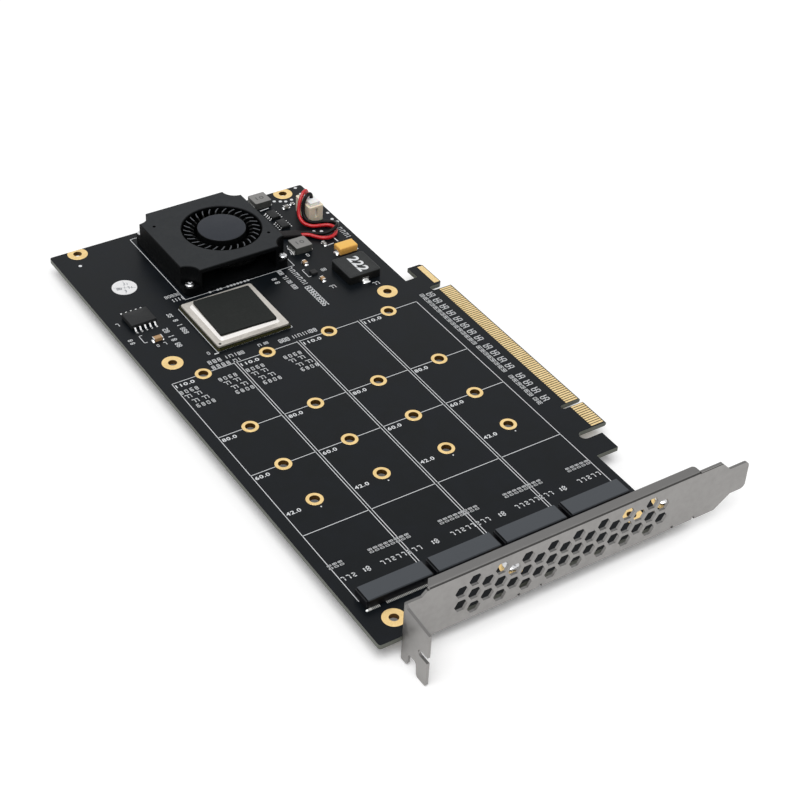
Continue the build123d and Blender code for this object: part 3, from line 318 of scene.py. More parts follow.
ink = finish("white_ink", (214, 216, 218), (232, 234, 236), patch=0.6, rough=(0.5, 0.65),
             grain_size=0.1, grain_depth=0.002)
sticker_ink = finish("sticker_ink", (120, 125, 132), (140, 145, 152), patch=0.5, rough=(0.5, 0.65))
dark_ink = finish("dark_ink", (74, 75, 74), (92, 93, 92), patch=0.5, rough=(0.5, 0.65))
inner_dark = finish("inner_dark", (6, 6, 7), (9, 9, 10), patch=2, rough=(0.5, 0.7), Specular_IOR_Level=0.1)

# Heights where a finish changes, from the board's face, or for LIP_LINE from the top of the lip
LAMINATE_SHOWS = 0.03
# Tops above these heights are painted paler, a painted highlight
COVER_TOP = 9.55
HUB_TOP = 9.8
BLADE_TOPS = 9.1
SOCKET_TOP = 2.95
CHOKE_TOP = 2.85
INDUCTOR_TOP = 2.6
TANTALUM_TOP = 2.5
# A band of painted highlight on the lid's slope, and the line of painted dark reflection at the bend of the
# lip
LID_BAND = (1.82, 2.79)
LIP_LINE = (-0.6, -0.2)
CHIP_LAYERS = (0.32, 0.78)
CHIP_LAYER_THICK = 0.07


def height_mask(material, low, high):
    """1 between two heights of the card in millimetres, as an output socket in the material."""
    levels = {"Low": card_high.z + low * MM, "High": card_high.z + high * MM}
    return placed_group(material.node_tree, between, **levels)["Mask"]


def top_mask(material, low=None):
    """1 on faces that look up, above a height where one is given."""
    facing = placed_group(material.node_tree, facing_up)["Mask"]
    if low is None:
        return facing
    return worked_out(material.node_tree, "MULTIPLY", facing, height_mask(material, low, 100.0))


# The laminate shows on the board's cut edges, below the mask
over(mask_finish, height_mask(mask_finish, LAMINATE_SHOWS - BOARD_THICK, -LAMINATE_SHOWS), (130, 133, 124))
# Painted light: tops are painted paler than their sides as a painted highlight of the soft light from above,
# and the bracket's upward faces darker as a painted dark reflection
for material, low, colour in (
    (fan_plastic, COVER_TOP, (47, 49, 51)),
    (wheel_plastic, BLADE_TOPS, (84, 86, 90)),
    (wheel_plastic, HUB_TOP, (47, 50, 56)),
    (socket_plastic, SOCKET_TOP, (66, 70, 75)),
    (bracket_steel, None, (116, 115, 114)),
    (choke_moulding, CHOKE_TOP, (33, 35, 36)),
    (powder_grey, INDUCTOR_TOP, (130, 129, 127)),
    (orange_moulding, TANTALUM_TOP, (243, 190, 90)),
):
    over(material, top_mask(material, low), colour)
# Painted light: the lid's sloping band gets a painted highlight, and the bend of the bracket's lip a painted
# dark reflection as a line
over(lid_metal, height_mask(lid_metal, *LID_BAND), (255, 252, 249))
lip_high = (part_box("bracket")[1].z - card_high.z) / MM
over(bracket_steel, height_mask(bracket_steel, *(lip_high + edge for edge in LIP_LINE)), (72, 71, 70))
# Thin bright layers in the chip's laminate
for level in CHIP_LAYERS:
    over(substrate_finish, height_mask(substrate_finish, level, level + CHIP_LAYER_THICK), (140, 136, 74))

# The CAD nodes of each finish
FINISHED_NODES = (
    (mask_finish, "board"),
    (contact_gold, "edge_contacts"),
    (gold, "drive_pads", "mounting_pads"),
    (bracket_steel, "bracket"),
    (screw_steel, "bracket_screws", "fan_screws"),
    (socket_plastic, *(f"drive_socket_{number}" for number in range(1, 5))),
    (spring_tin, *(f"socket_contacts_{number}" for number in range(1, 5))),
    (substrate_finish, "switch_substrate"),
    (lid_metal, "switch_lid"),
    (pad_rubber, "thermal_pad"),
    (fan_plastic, "fan_housing", "fan_cover"),
    (wheel_plastic, "impeller"),
    (inner_steel, "rotor_yoke", "fan_shaft", "stator_core"),
    (magnet_finish, "ring_magnet"),
    (bearing_brass, "fan_bearing"),
    (driver_finish, "fan_driver_board"),
    (copper, "stator_coils"),
    (header_plastic, "fan_header"),
    (sleeve_rubber, "lead_sleeve"),
    (plug_plastic, "lead_plug"),
    (choke_moulding, "power_inductor"),
    (powder_grey, "small_inductors"),
    (orange_moulding, "tantalum_capacitor"),
    (black_moulding, "regulator_chips", "memory_chip", "flat_chip"),
    (tin, "header_pins", "power_inductor_terminals", "small_inductor_terminals", "tantalum_terminals",
     "regulator_leads", "memory_leads", "capacitor_ends"),
    (ceramic_brown, "ceramic_capacitors", "underside_capacitors"),
    (paper, "sticker"),
)


def dress_nodes():
    """Gives every CAD node its finish."""
    finishes = {node: material for material, *nodes in FINISHED_NODES for node in nodes}
    for name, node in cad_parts.items():
        node.data.materials.clear()
        node.data.materials.append(finishes.get(name, inner_dark))


# Mesh helpers


def grid_faces(rows, columns, close_rows=False, close_columns=False):
    """Four-sided faces between neighbours on a grid of points, row by row."""
    row, column = np.meshgrid(
        np.arange(rows if close_rows else rows - 1),
        np.arange(columns if close_columns else columns - 1),
        indexing="ij",
    )
    next_row, next_column = (row + 1) % rows, (column + 1) % columns
    corners = [row * columns + column, row * columns + next_column,
               next_row * columns + next_column, next_row * columns + column]
    return np.stack(corners, axis=-1).reshape(-1, 4)


def repeated(faces, count, points_each):
    """The same faces for several copies of a shape that follow each other in one array."""
    steps = np.arange(count)[:, None, None] * points_each
    return (faces[None] + steps).reshape(-1, faces.shape[1])


def piece(name, points, faces, material, slot, body="card", stands_for=(), sharp=32.0):
    """One piece of the object from points in the card's millimetres and rows of point numbers. Points
    that meet are merged, so seams and poles are closed, and the faces are turned outwards."""
    mesh = bpy.data.meshes.new(name)
    points = placed(np.reshape(points, (-1, 3)))
    mesh.vertices.add(len(points))
    mesh.vertices.foreach_set("co", points.ravel())
    mesh.loops.add(faces.size)
    mesh.loops.foreach_set("vertex_index", faces.ravel())
    mesh.polygons.add(len(faces))
    mesh.polygons.foreach_set("loop_start", np.arange(len(faces)) * faces.shape[1])
    mesh.update(calc_edges=True)
    work = bmesh.new()
    work.from_mesh(mesh)
    bmesh.ops.remove_doubles(work, verts=work.verts, dist=0.0005 * MM)
    bmesh.ops.recalc_face_normals(work, faces=work.faces)
    work.to_mesh(mesh)
    work.free()
    mesh.polygons.foreach_set("use_smooth", np.ones(len(mesh.polygons), bool))
    mesh.set_sharp_from_angle(angle=radians(sharp))
    mesh.materials.append(material)
    made = bpy.data.objects.new(name, mesh)
    bpy.context.collection.objects.link(made)
    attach(made, body)
    if stands_for:
        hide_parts(*stands_for)


def revolved(profile, middle, count=64, closed=False):
    """A surface of revolution: the profile's radius r and height z at angle a give the point
    (x + r cos a, y + r sin a, z) about an upright axis through the middle. A closed profile ends
    where it starts."""
    profile = np.asarray(profile, float)
    angle = np.arange(count) * 2 * pi / count
    radius, height = profile[:, :1], profile[:, 1:]
    points = np.stack([
        middle[0] + radius * np.cos(angle),
        middle[1] + radius * np.sin(angle),
        np.broadcast_to(height, (len(profile), count)),
    ], axis=-1)
    return points.reshape(-1, 3), grid_faces(len(profile), count, close_rows=closed, close_columns=True)


def at_places(shape, places):
    """Copies of one shape, each moved by a place's x and y."""
    points, faces = shape
    moves = np.column_stack([places, np.zeros(len(places))])
    return (points[None] + moves[:, None]).reshape(-1, 3), repeated(faces, len(places), len(points))


def rounded_ring(half_x, half_y, corner, steps=6):
    """A rectangle with round corners as a ring of points: each corner's middle plus its radius at
    angles that run through a quarter turn."""
    quarter = np.arange(4)[:, None] * pi / 2 + np.linspace(0, pi / 2, steps + 1)[None]
    side_x = np.array([1, -1, -1, 1])[:, None] * (half_x - corner)
    side_y = np.array([1, 1, -1, -1])[:, None] * (half_y - corner)
    points = np.stack([side_x + corner * np.cos(quarter), side_y + corner * np.sin(quarter)], -1)
    return points.reshape(-1, 2)


def stacked_block(middle, half, corner, levels, steps=6):
    """A block with round corners about its middle, stacked from rings. Each level has an inset and a
    height: there the rectangle of the half sizes is smaller by the inset all round. The first and
    last ring close to a point in the middle."""
    rings = []
    for inset, height in levels:
        ring = rounded_ring(half[0] - inset, half[1] - inset, max(corner - inset, 0.02), steps)
        rings.append(np.column_stack([ring, np.full(len(ring), height)]))
    rings = np.array([rings[0] * (0, 0, 1), *rings, rings[-1] * (0, 0, 1)])
    points = rings + (*middle, 0)
    return points.reshape(-1, 3), grid_faces(len(rings), rings.shape[1], close_columns=True)


def rounded_edge(radius, low, high, steps=4):
    """Levels of a block's wall from low to high, whose upper edge is a quarter circle."""
    angle = np.linspace(0, pi / 2, steps + 1)
    return [(0.0, low)] + [(radius * (1 - cos(a)), high - radius + radius * sin(a)) for a in angle]


BOX_PLAN = ((-0.5, -0.5), (0.5, -0.5), (0.5, 0.5), (-0.5, 0.5))
BOX_CORNERS = np.array([(x, y, z) for z in (0, 1) for x, y in BOX_PLAN])
BOX_FACES = np.array([(3, 2, 1, 0), (4, 5, 6, 7), (0, 1, 5, 4), (1, 2, 6, 5), (2, 3, 7, 6), (3, 0, 4, 7)])


def strokes(rows, low, high):
    """Flat bars, each from its middle x and y, length, width and turn in degrees: the unit box scaled,
    turned and moved for all the rows at once."""
    rows = np.asarray(rows, float)
    angle = np.radians(rows[:, 4])[:, None]
    along = BOX_CORNERS[None, :, 0] * rows[:, 2:3]
    across = BOX_CORNERS[None, :, 1] * rows[:, 3:4]
    points = np.stack([
        rows[:, :1] + along * np.cos(angle) - across * np.sin(angle),
        rows[:, 1:2] + along * np.sin(angle) + across * np.cos(angle),
        np.broadcast_to(low + BOX_CORNERS[None, :, 2] * (high - low), along.shape),
    ], -1)
    return points.reshape(-1, 3), repeated(BOX_FACES, len(rows), 8)


def joined(*shapes):
    """Several shapes as one array of points and one of faces."""
    starts = np.cumsum([0] + [len(points) for points, faces in shapes[:-1]])
    points = np.concatenate([points for points, faces in shapes])
    faces = np.concatenate([faces + start for (_, faces), start in zip(shapes, starts)])
    return points, faces


# Leads of the blower: the points of their routes, from the plug to the blower
LEAD_DIAMETER = 1.3
RED_ROUTE = (
    (41.8, 175.7, 7.2),
    (41.8, 175.7, 8.4),
    (40.9, 175.2, 9.2),
    (39.2, 174.2, 8.9),
    (37.4, 173.0, 7.0),
    (36.2, 171.9, 4.4),
    (35.7, 170.2, 2.2),
    (35.9, 167.5, 1.1),
    (37.9, 165.0, 0.8),
    (41.2, 164.1, 0.8),
    (43.8, 163.0, 0.8),
    (44.7, 160.6, 0.8),
    (43.3, 157.6, 0.8),
    (40.6, 156.0, 0.8),
    (37.6, 156.7, 0.8),
    (35.6, 158.9, 0.8),
    (33.9, 161.21, 0.95),
    (31.0, 162.37, 0.95),
    (18.9, 167.21, 0.95),
)
BLACK_ROUTE = (
    (42.0, 172.9, 7.2),
    (42.0, 172.9, 8.4),
    (41.1, 172.7, 9.2),
    (39.4, 172.2, 8.8),
    (38.1, 171.7, 6.9),
    (37.5, 171.1, 4.6),
    (37.2, 169.8, 2.7),
    (37.5, 167.6, 1.7),
    (39.7, 166.3, 1.0),
    (42.5, 166.0, 0.9),
    (44.8, 164.7, 0.9),
    (45.8, 162.5, 1.4),
    (45.3, 160.2, 2.6),
    (43.8, 158.3, 2.8),
    (41.7, 157.6, 2.4),
    (39.5, 158.1, 1.5),
    (37.6, 159.6, 0.9),
    (35.9, 161.4, 0.8),
    (33.9, 162.83, 0.95),
    (31.0, 163.99, 0.95),
    (18.9, 168.83, 0.95),
)


def make_lead(name, route, material):
    """One lead: a smooth curve through the space of its route, as thick as the real one."""
    data = bpy.data.curves.new(name, "CURVE")
    data.dimensions = "3D"
    data.bevel_depth = LEAD_DIAMETER / 2 * MM
    data.bevel_resolution = 6
    data.resolution_u = 8
    spline = data.splines.new("NURBS")
    spline.points.add(len(route) - 1)
    points = placed(route)
    spline.points.foreach_set("co", np.column_stack([points, np.ones(len(points))]).ravel())
    spline.order_u = 3
    spline.use_endpoint_u = True
    data.materials.append(material)
    lead = bpy.data.objects.new(name, data)
    bpy.context.collection.objects.link(lead)
    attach(lead, "card")
    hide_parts(name)


# Stage
FLOOR_REACH = 3.0
FLOOR_GAP = 0.00005
FLOOR_BOUNCE = 0.3
FLOOR_GLOW = 0.12


def make_floor():
    """A pale floor under the card, white to the camera and mid grey to light that bounces off it."""
    mesh = bpy.data.meshes.new("floor")
    corners = [(x * FLOOR_REACH, y * FLOOR_REACH, 0) for x, y in ((-1, -1), (1, -1), (1, 1), (-1, 1))]
    mesh.from_pydata(corners, [], [(0, 1, 2, 3)])
    floor = bpy.data.objects.new("floor", mesh)
    bpy.context.collection.objects.link(floor)
    floor.location.z = cad_box[0].z - FLOOR_GAP
    material = bpy.data.materials.new("floor")
    material.use_nodes = True
    tree = material.node_tree
    path = add_node(tree, "ShaderNodeLightPath").outputs
    seen = worked_out(tree, "MAXIMUM", path["Is Camera Ray"], path["Is Glossy Ray"])
    grey = (FLOOR_BOUNCE, FLOOR_BOUNCE, FLOOR_BOUNCE, 1)
    mix = add_node(tree, "ShaderNodeMix", data_type="RGBA", Factor=seen, A=grey, B=(1, 1, 1, 1))
    glow = add_node(tree, "ShaderNodeMapRange", Value=path["Is Camera Ray"], To_Max=FLOOR_GLOW)
    for socket, source in (
        ("Base Color", mix.outputs["Result"]),
        ("Roughness", 1.0),
        ("Specular IOR Level", 0.0),
        ("Emission Color", (1, 1, 1, 1)),
        ("Emission Strength", glow.outputs["Result"]),
    ):
        feed(tree, source, tree.nodes["Principled BSDF"].inputs[socket])
    mesh.materials.append(material)


def make_world(sky):
    """A white surround to the eye and to gloss, and a weaker soft light on everything else."""
    world = bpy.data.worlds.new("studio")
    bpy.context.scene.world = world
    world.use_nodes = True
    tree = world.node_tree
    background = tree.nodes["Background"]
    background.inputs["Color"].default_value = (1, 1, 1, 1)
    path = add_node(tree, "ShaderNodeLightPath").outputs
    seen = worked_out(tree, "MAXIMUM", path["Is Camera Ray"], path["Is Glossy Ray"])
    seen = worked_out(tree, "MAXIMUM", seen, path["Is Transmission Ray"])
    strength = add_node(tree, "ShaderNodeMapRange", Value=seen, To_Min=sky, To_Max=1.0)
    tree.links.new(strength.outputs["Result"], background.inputs["Strength"])


def make_lamp(name, direction, level, spread):
    """A soft far lamp. Level is the share of a plain white that it adds to a face turned to it."""
    data = bpy.data.lights.new(name, "SUN")
    data.energy = level * pi
    data.angle = radians(spread)
    lamp = bpy.data.objects.new(name, data)
    bpy.context.collection.objects.link(lamp)
    lamp.rotation_euler = Vector(direction).to_track_quat("Z", "Y").to_euler()


# Rings and linings of the holes
FOIL = 0.05
LINING = 0.05
RING_WEAR = 0.03
DRIVE_HOLE = 1.65
LARGE_RING = 3.45
LARGE_HOLE = 1.5
END_MARGIN = 0.1
DRIVE_HOLES = [(bay, length) for bay in BAYS for length in DRIVE_LENGTHS]
CORNER_HOLES = [(side * 40.25, y) for y in (189.8, 119.7) for side in (-1, 1)]
LARGE_HOLES = [*CORNER_HOLES, (-40.5, -9.6), (41.3, -9.6)]
EAR_HOLES = [(-1.75, -9.6), (53.15, -9.6)]
HOLE_KINDS = ((DRIVE_HOLES, DRIVE_HOLE, DRIVE_RING), (LARGE_HOLES, LARGE_HOLE, LARGE_RING))


def ring_section(hole, ring, face, way):
    """Section of a flat ring on a face of the board, from the lining to its worn outer edge."""
    inside, worn = hole - LINING, ring - RING_WEAR
    top, side = face + way * FOIL, face + way * (FOIL - RING_WEAR)
    return [(inside, face), (inside, top), (worn, top), (ring, side), (ring, face)]


def round_holes(section, places):
    """A closed section turned round the middle of each hole."""
    return at_places(revolved(section, (0, 0), 48, True), places)


def trimmed(shape):
    """A shape cut off just before the far end of the board."""
    points, faces = shape
    return np.minimum(points, (np.inf, BOARD_FAR - END_MARGIN, np.inf)), faces


def make_rings():
    """Gold rings round the holes on both faces of the board, and the plated linings inside them, painted
    dark brown as painted shade inside the holes.
    """
    rings = [round_holes(ring_section(LARGE_HOLE, LARGE_RING, 0.0, 1), EAR_HOLES)]
    linings = []
    for places, hole, ring in HOLE_KINDS:
        for face, way in ((0.0, 1), (-BOARD_THICK, -1)):
            rings.append(trimmed(round_holes(ring_section(hole, ring, face, way), places)))
        inside = hole - LINING
        section = [(inside, 0.0), (hole, 0.0), (hole, -BOARD_THICK), (inside, -BOARD_THICK)]
        linings.append(round_holes(section, places))
    piece("gold_rings", *joined(*rings), gold, "gold", stands_for=("drive_pads", "mounting_pads"))
    piece("hole_linings", *joined(*linings), barrel_gold, "gold")


# Blower wheel
WHEEL_MIDDLE = centre("rotor_yoke")[:2]
HUB_RADIUS = 8.3
HUB_HIGH = 10.0
HUB_ROUND = 0.45
HUB_INSIDE = 7.6
CAP_LOW = 9.0
SHAFT_RADIUS = 0.75
SHAFT_TOP = 9.5
DISC_LOW = 2.6
DISC_TOP = 3.2
BLADE_COUNT = 29
BLADE_INNER = 9.5
BLADE_OUTER = 14.3
BLADE_STEP = 13.0
BLADE_TOP = 9.2
BLADE_RISE = 0.7
BLADE_RISE_END = 0.28
BLADE_STEP_TOP = 7.7
BLADE_THICK = 0.5
BLADE_BEVEL = 0.08
BLADE_LEAN = 12.0


def hub_shape():
    """The hub with its rounded rim, its hollow for the magnet, and the disc under the blades."""
    turn = np.linspace(0, pi / 2, 6)
    rim_radius = HUB_RADIUS - HUB_ROUND * (1 - np.sin(turn))
    rim_height = HUB_HIGH - HUB_ROUND * (1 - np.cos(turn))
    hub = [(0, HUB_HIGH), *zip(rim_radius, rim_height), (HUB_RADIUS, DISC_TOP)]
    disc = [(BLADE_OUTER, DISC_TOP), (BLADE_OUTER, DISC_LOW), (HUB_INSIDE, DISC_LOW)]
    hollow = [(HUB_INSIDE, CAP_LOW), (SHAFT_RADIUS, CAP_LOW), (SHAFT_RADIUS, SHAFT_TOP), (0, SHAFT_TOP)]
    return revolved(hub + disc + hollow, WHEEL_MIDDLE, 96)


def blade_shapes():
    """The wheel's blades. At share t of a blade its radius grows evenly from the inner to the outer
    end, and its angle falls by the lean times 0.4 t + 0.6 t squared. The section has six corners, half
    the thickness to each side of that line. Its top rises at first, runs level and steps down under
    the blower's cover."""
    step = (BLADE_STEP - BLADE_INNER) / (BLADE_OUTER - BLADE_INNER)
    inside, outside = np.linspace(0, step, 6), np.linspace(step, 1, 4)
    share = np.concatenate([[0], inside, outside, [1]])
    rise = np.interp(inside, (0, BLADE_RISE_END), (BLADE_TOP - BLADE_RISE, BLADE_TOP))
    top = np.concatenate([rise[:1], rise, np.full(5, BLADE_STEP_TOP)])
    radius = BLADE_INNER + share * (BLADE_OUTER - BLADE_INNER)
    swing = -radians(BLADE_LEAN) * (0.4 * share + 0.6 * share ** 2)
    half = BLADE_THICK / 2
    side = np.array([-half, -half, BLADE_BEVEL - half, half - BLADE_BEVEL, half, half])
    drop = np.array([0, BLADE_BEVEL, 0, 0, BLADE_BEVEL, 0])
    on_disc = np.array([True, False, False, False, False, True])
    across = np.broadcast_to(side, (len(share), 6)).copy()
    height = np.where(on_disc, DISC_TOP, top[:, None] - drop)
    across[[0, -1]] = 0
    height[[0, -1]] = (DISC_TOP + top[[0, -1], None]) / 2
    start = np.arange(BLADE_COUNT)[:, None, None] * 2 * pi / BLADE_COUNT
    angle = start + swing[None, :, None]
    points = np.stack([
        WHEEL_MIDDLE[0] + radius[None, :, None] * np.cos(angle) - across[None] * np.sin(angle),
        WHEEL_MIDDLE[1] + radius[None, :, None] * np.sin(angle) + across[None] * np.cos(angle),
        np.broadcast_to(height, (BLADE_COUNT, *height.shape)),
    ], -1)
    faces = grid_faces(len(share), 6, close_columns=True)
    return points.reshape(-1, 3), repeated(faces, BLADE_COUNT, len(share) * 6)


# Screws with a cross recess
RECESS_REACH = 0.62
RECESS_HALF = 0.15
RECESS_TURN = 10.0
RECESS_SIDE_SOFT = 0.05
RECESS_END_SOFT = 0.08


def recess_share(across, along):
    """How deep the cross recess is on one arm, from 0 to 1: the arm narrows and rises to its end."""
    taper = 1 - 0.5 * along / RECESS_REACH
    side = np.clip((RECESS_HALF * taper - across) / RECESS_SIDE_SOFT + 0.5, 0, 1)
    end = np.clip((RECESS_REACH - along) / RECESS_END_SOFT + 0.5, 0, 1)
    return side * end * taper


def screw_shape(head, shank, seat, high, tip):
    """A screw with a low round head. On its top the height falls with the fourth power of the radius,
    less the cross recess, and the rings below follow its side, its seat and its shank."""
    share = np.linspace(0, 1, 16)[:, None]
    angle = np.arange(64) * 2 * pi / 64
    x, y = share * np.cos(angle), share * np.sin(angle)
    turn = radians(RECESS_TURN)
    u, v = np.abs(x * cos(turn) + y * sin(turn)), np.abs(y * cos(turn) - x * sin(turn))
    recess = np.maximum(recess_share(u, v), recess_share(v, u))
    top = high - (high - seat) * (0.3 * share ** 4 + 0.6 * recess)
    rings = np.stack([head * x, head * y, top], -1)
    below = np.array([(head, seat), (shank, seat), (shank, tip), (0, tip)])
    lower = np.stack([below[:, :1] * np.cos(angle), below[:, :1] * np.sin(angle),
                      np.broadcast_to(below[:, 1:], (4, 64))], -1)
    points = np.concatenate([rings, lower])
    return points.reshape(-1, 3), grid_faces(len(points), 64, close_columns=True)


BLOWER_MIDDLE = (-0.2, 168.2)
BLOWER_SCREW_HALF = 17.65


def make_screws():
    """The blower's four screws and the two that hold the board to the bracket's ears."""
    middle_x, middle_y = BLOWER_MIDDLE
    sides = (-BLOWER_SCREW_HALF, BLOWER_SCREW_HALF)
    corners = [(middle_x + side_x, middle_y + side_y) for side_x in sides for side_y in sides]
    small = at_places(screw_shape(head=1.5, shank=0.95, seat=3.2, high=4.2, tip=-1.87), corners)
    large = at_places(screw_shape(head=2.6, shank=1.25, seat=FOIL, high=1.75, tip=-2.83), EAR_HOLES)
    piece("blower_screws", *small, screw_steel, "screw_steel", stands_for=("fan_screws",))
    piece("ear_screws", *large, screw_steel, "screw_steel", stands_for=("bracket_screws",))


# Moulded parts on the board: middles, half sizes in x and y, and heights
CHOKE_MIDDLE = (37.15, 134.8)
CHOKE_HALF = (6.25, 6.2)
CHOKE_HIGH = 3.1
GROOVE_DEEP = 0.04
INDUCTOR_MIDDLES = ((27.6, 156.0), (29.4, 187.5))
INDUCTOR_HALF = (3.2, 3.075)
INDUCTOR_HIGH = 2.8
TANTALUM_MIDDLE = (41.0, 147.6)
TANTALUM_HALF = (3.55, 2.15)
REGULATOR_MIDDLES = ((29.7, 178.4), (29.8, 171.6))
REGULATOR_HALF = (1.65, 2.4)
REGULATOR_HIGH = 1.25
MEMORY_MIDDLE = (-39.3, 145.1)
MEMORY_HALF = (4.5, 3.9)
MEMORY_HIGH = 1.9
FLAT_CHIP_MIDDLE = (24.1, 141.0)
FLAT_CHIP_HALF = (1.1, 1.1)
FLAT_CHIP_HIGH = 0.8
TERMINAL_THICK = 0.15
BODY_GAP = 0.1


def chip_shape(middle, half, high, draft=0.12):
    """A moulded chip body: its walls lean in from half height to both faces, and its edges are soft."""
    waist = (BODY_GAP + high) / 2
    edge = [(draft * 0.8, high - 0.06), (draft, high - 0.02), (draft + 0.05, high)]
    return stacked_block(middle, half, 0.1, [(draft, BODY_GAP), (0, waist), *edge], steps=2)


def make_moulded_parts():
    """The inductors, the orange capacitor and the chips, with rounded edges."""
    floor = CHOKE_HIGH - GROOVE_DEEP
    groove = [(0.7, CHOKE_HIGH), (0.74, floor), (0.82, floor), (0.86, CHOKE_HIGH)]
    wall = rounded_edge(0.35, TERMINAL_THICK, CHOKE_HIGH) + groove
    choke = stacked_block(CHOKE_MIDDLE, CHOKE_HALF, 1.0, wall)
    piece("choke_body", *choke, choke_moulding, "black_moulding", stands_for=("power_inductor",))
    wall = rounded_edge(0.15, TERMINAL_THICK, INDUCTOR_HIGH)
    blocks = joined(*(stacked_block(middle, INDUCTOR_HALF, 0.4, wall) for middle in INDUCTOR_MIDDLES))
    piece("inductor_bodies", *blocks, powder_grey, "grey_moulding", stands_for=("small_inductors",))
    wall = [(0.1, TERMINAL_THICK), (0, 1.3), (0.02, 2.4), (0.12, 2.62), (0.3, 2.76), (0.5, 2.8)]
    block = stacked_block(TANTALUM_MIDDLE, TANTALUM_HALF, 0.25, wall)
    piece("tantalum_body", *block, orange_moulding, "orange_moulding", stands_for=("tantalum_capacitor",))
    chips = joined(*(chip_shape(middle, REGULATOR_HALF, REGULATOR_HIGH) for middle in REGULATOR_MIDDLES))
    piece("regulator_bodies", *chips, black_moulding, "black_moulding", stands_for=("regulator_chips",))
    chip = chip_shape(MEMORY_MIDDLE, MEMORY_HALF, MEMORY_HIGH, 0.2)
    piece("memory_body", *chip, black_moulding, "black_moulding", stands_for=("memory_chip",))
    chip = stacked_block(FLAT_CHIP_MIDDLE, FLAT_CHIP_HALF, 0.06, rounded_edge(0.05, 0.0, FLAT_CHIP_HIGH))
    piece("flat_chip_body", *chip, black_moulding, "black_moulding", stands_for=("flat_chip",))


# Ceramic capacitors: middle x and y, size in x, size in y and height
BROWN_CAPACITORS = (
    (-38.75, 132.9, 3.2, 1.7, 1.2),
    (24.55, 147.5, 1.3, 2.1, 0.9),
    (24.85, 136.2, 1.3, 2.1, 0.9),
)
GREY_CAPACITORS = (
    (36.6, 181.2, 2.0, 1.25, 0.9),
    (36.4, 154.5, 1.0, 1.9, 0.8),
    (39.7, 182.2, 1.2, 0.8, 0.6),
)
PLATED_END = 0.3
END_PROUD = 0.02
FOOT_HALF = 0.45
FOOT_SHARE = 0.4


def lying(along_x, lengthwise, across):
    """A size or step along a part and one across it, as X and Y."""
    return (lengthwise, across) if along_x else (across, lengthwise)


def capacitor_shapes(rows):
    """Bodies and plated ends of ceramic capacitors, and the mounds of their solder. The ends are on the
    two short sides and stand a little proud of the body."""
    bodies, ends, feet = [], [], []
    for x, y, wide, deep, high in rows:
        along_x = wide > deep
        length, side = max(wide, deep) / 2, min(wide, deep) / 2
        wall = rounded_edge(0.05, 0.0, high - END_PROUD)
        bodies.append(stacked_block((x, y), lying(along_x, length - PLATED_END, side), 0.05, wall, steps=2))
        half = lying(along_x, PLATED_END / 2, side)
        wall = rounded_edge(0.08, 0.0, high)
        for way in (-1, 1):
            step_x, step_y = lying(along_x, way * (length - PLATED_END / 2), 0)
            ends.append(stacked_block((x + step_x, y + step_y), half, 0.08, wall, steps=2))
            step_x, step_y = lying(along_x, way * (length + 0.05), 0)
            reach = lying(along_x, FOOT_HALF, side + 0.12)
            feet.append((x + step_x, y + step_y, *reach, high * FOOT_SHARE))
    return bodies, ends, feet


def mounds(rows):
    """Solder mounds from middle x and y, half sizes in x and y, and height. At share s of its radius a
    mound has one less s squared of its height, and its foot is an oval that is squared off a little."""
    rows = np.asarray(rows, float)[:, :, None, None]
    share = np.linspace(0, 1, 6)[None, :, None]
    angle = (np.arange(16) * 2 * pi / 16)[None, None]
    squared = (np.abs(np.cos(angle)) ** 3 + np.abs(np.sin(angle)) ** 3) ** (-1 / 3)
    points = np.stack([
        rows[:, 0] + rows[:, 2] * share * np.cos(angle) * squared,
        rows[:, 1] + rows[:, 3] * share * np.sin(angle) * squared,
        rows[:, 4] * (1 - share ** 2) * np.ones_like(angle),
    ], -1)
    floor = points[:, -1:] * (0, 0, 1) + rows[:, :3, 0, 0][:, None, None] * (1, 1, 0)
    points = np.concatenate([points, np.broadcast_to(floor, (len(rows), 1, 16, 3))], 1)
    return points.reshape(-1, 3), repeated(grid_faces(7, 16, close_columns=True), len(rows), 7 * 16)


def make_capacitors():
    """Brown and grey ceramic capacitors with plated ends, and the solder at their feet."""
    brown_bodies, brown_ends, brown_feet = capacitor_shapes(BROWN_CAPACITORS)
    grey_bodies, grey_ends, grey_feet = capacitor_shapes(GREY_CAPACITORS)
    brown = joined(*brown_bodies)
    plating = joined(*brown_ends, *grey_ends)
    piece("brown_capacitor_bodies", *brown, ceramic_brown, "ceramic_body",
          stands_for=("ceramic_capacitors",))
    piece("grey_capacitor_bodies", *joined(*grey_bodies), ceramic_grey, "ceramic_body")
    piece("capacitor_plating", *plating, solder, "tin", stands_for=("capacitor_ends",))
    piece("capacitor_solder", *mounds(brown_feet + grey_feet), solder, "tin")


SOCKET_TAB = 10.7
SOCKET_FRONT = -3.8


def solder_joints():
    """Solder at the feet of the terminals, and at the front corners of the sockets. A row gives a mound's
    middle x and y, half sizes in x and y, and height."""
    rows = []
    choke_x, choke_y = CHOKE_MIDDLE
    for side in (-1, 1):
        rows.append((choke_x, choke_y + side * 6.9, 1.5, 0.7, 0.6))
        rows.append((TANTALUM_MIDDLE[0] + side * 3.95, TANTALUM_MIDDLE[1], 0.6, 1.4, 0.6))
        for x, y in INDUCTOR_MIDDLES:
            rows.append((x + side * 3.5, y, 0.5, 2.4, 0.35))
        for bay in BAYS:
            rows.append((bay + side * SOCKET_TAB, SOCKET_FRONT, 0.6, 0.45, 0.4))
    piece("terminal_solder", *mounds(rows), solder, "tin")


# Bent leads of the chips
LEAD_THICK = 0.2


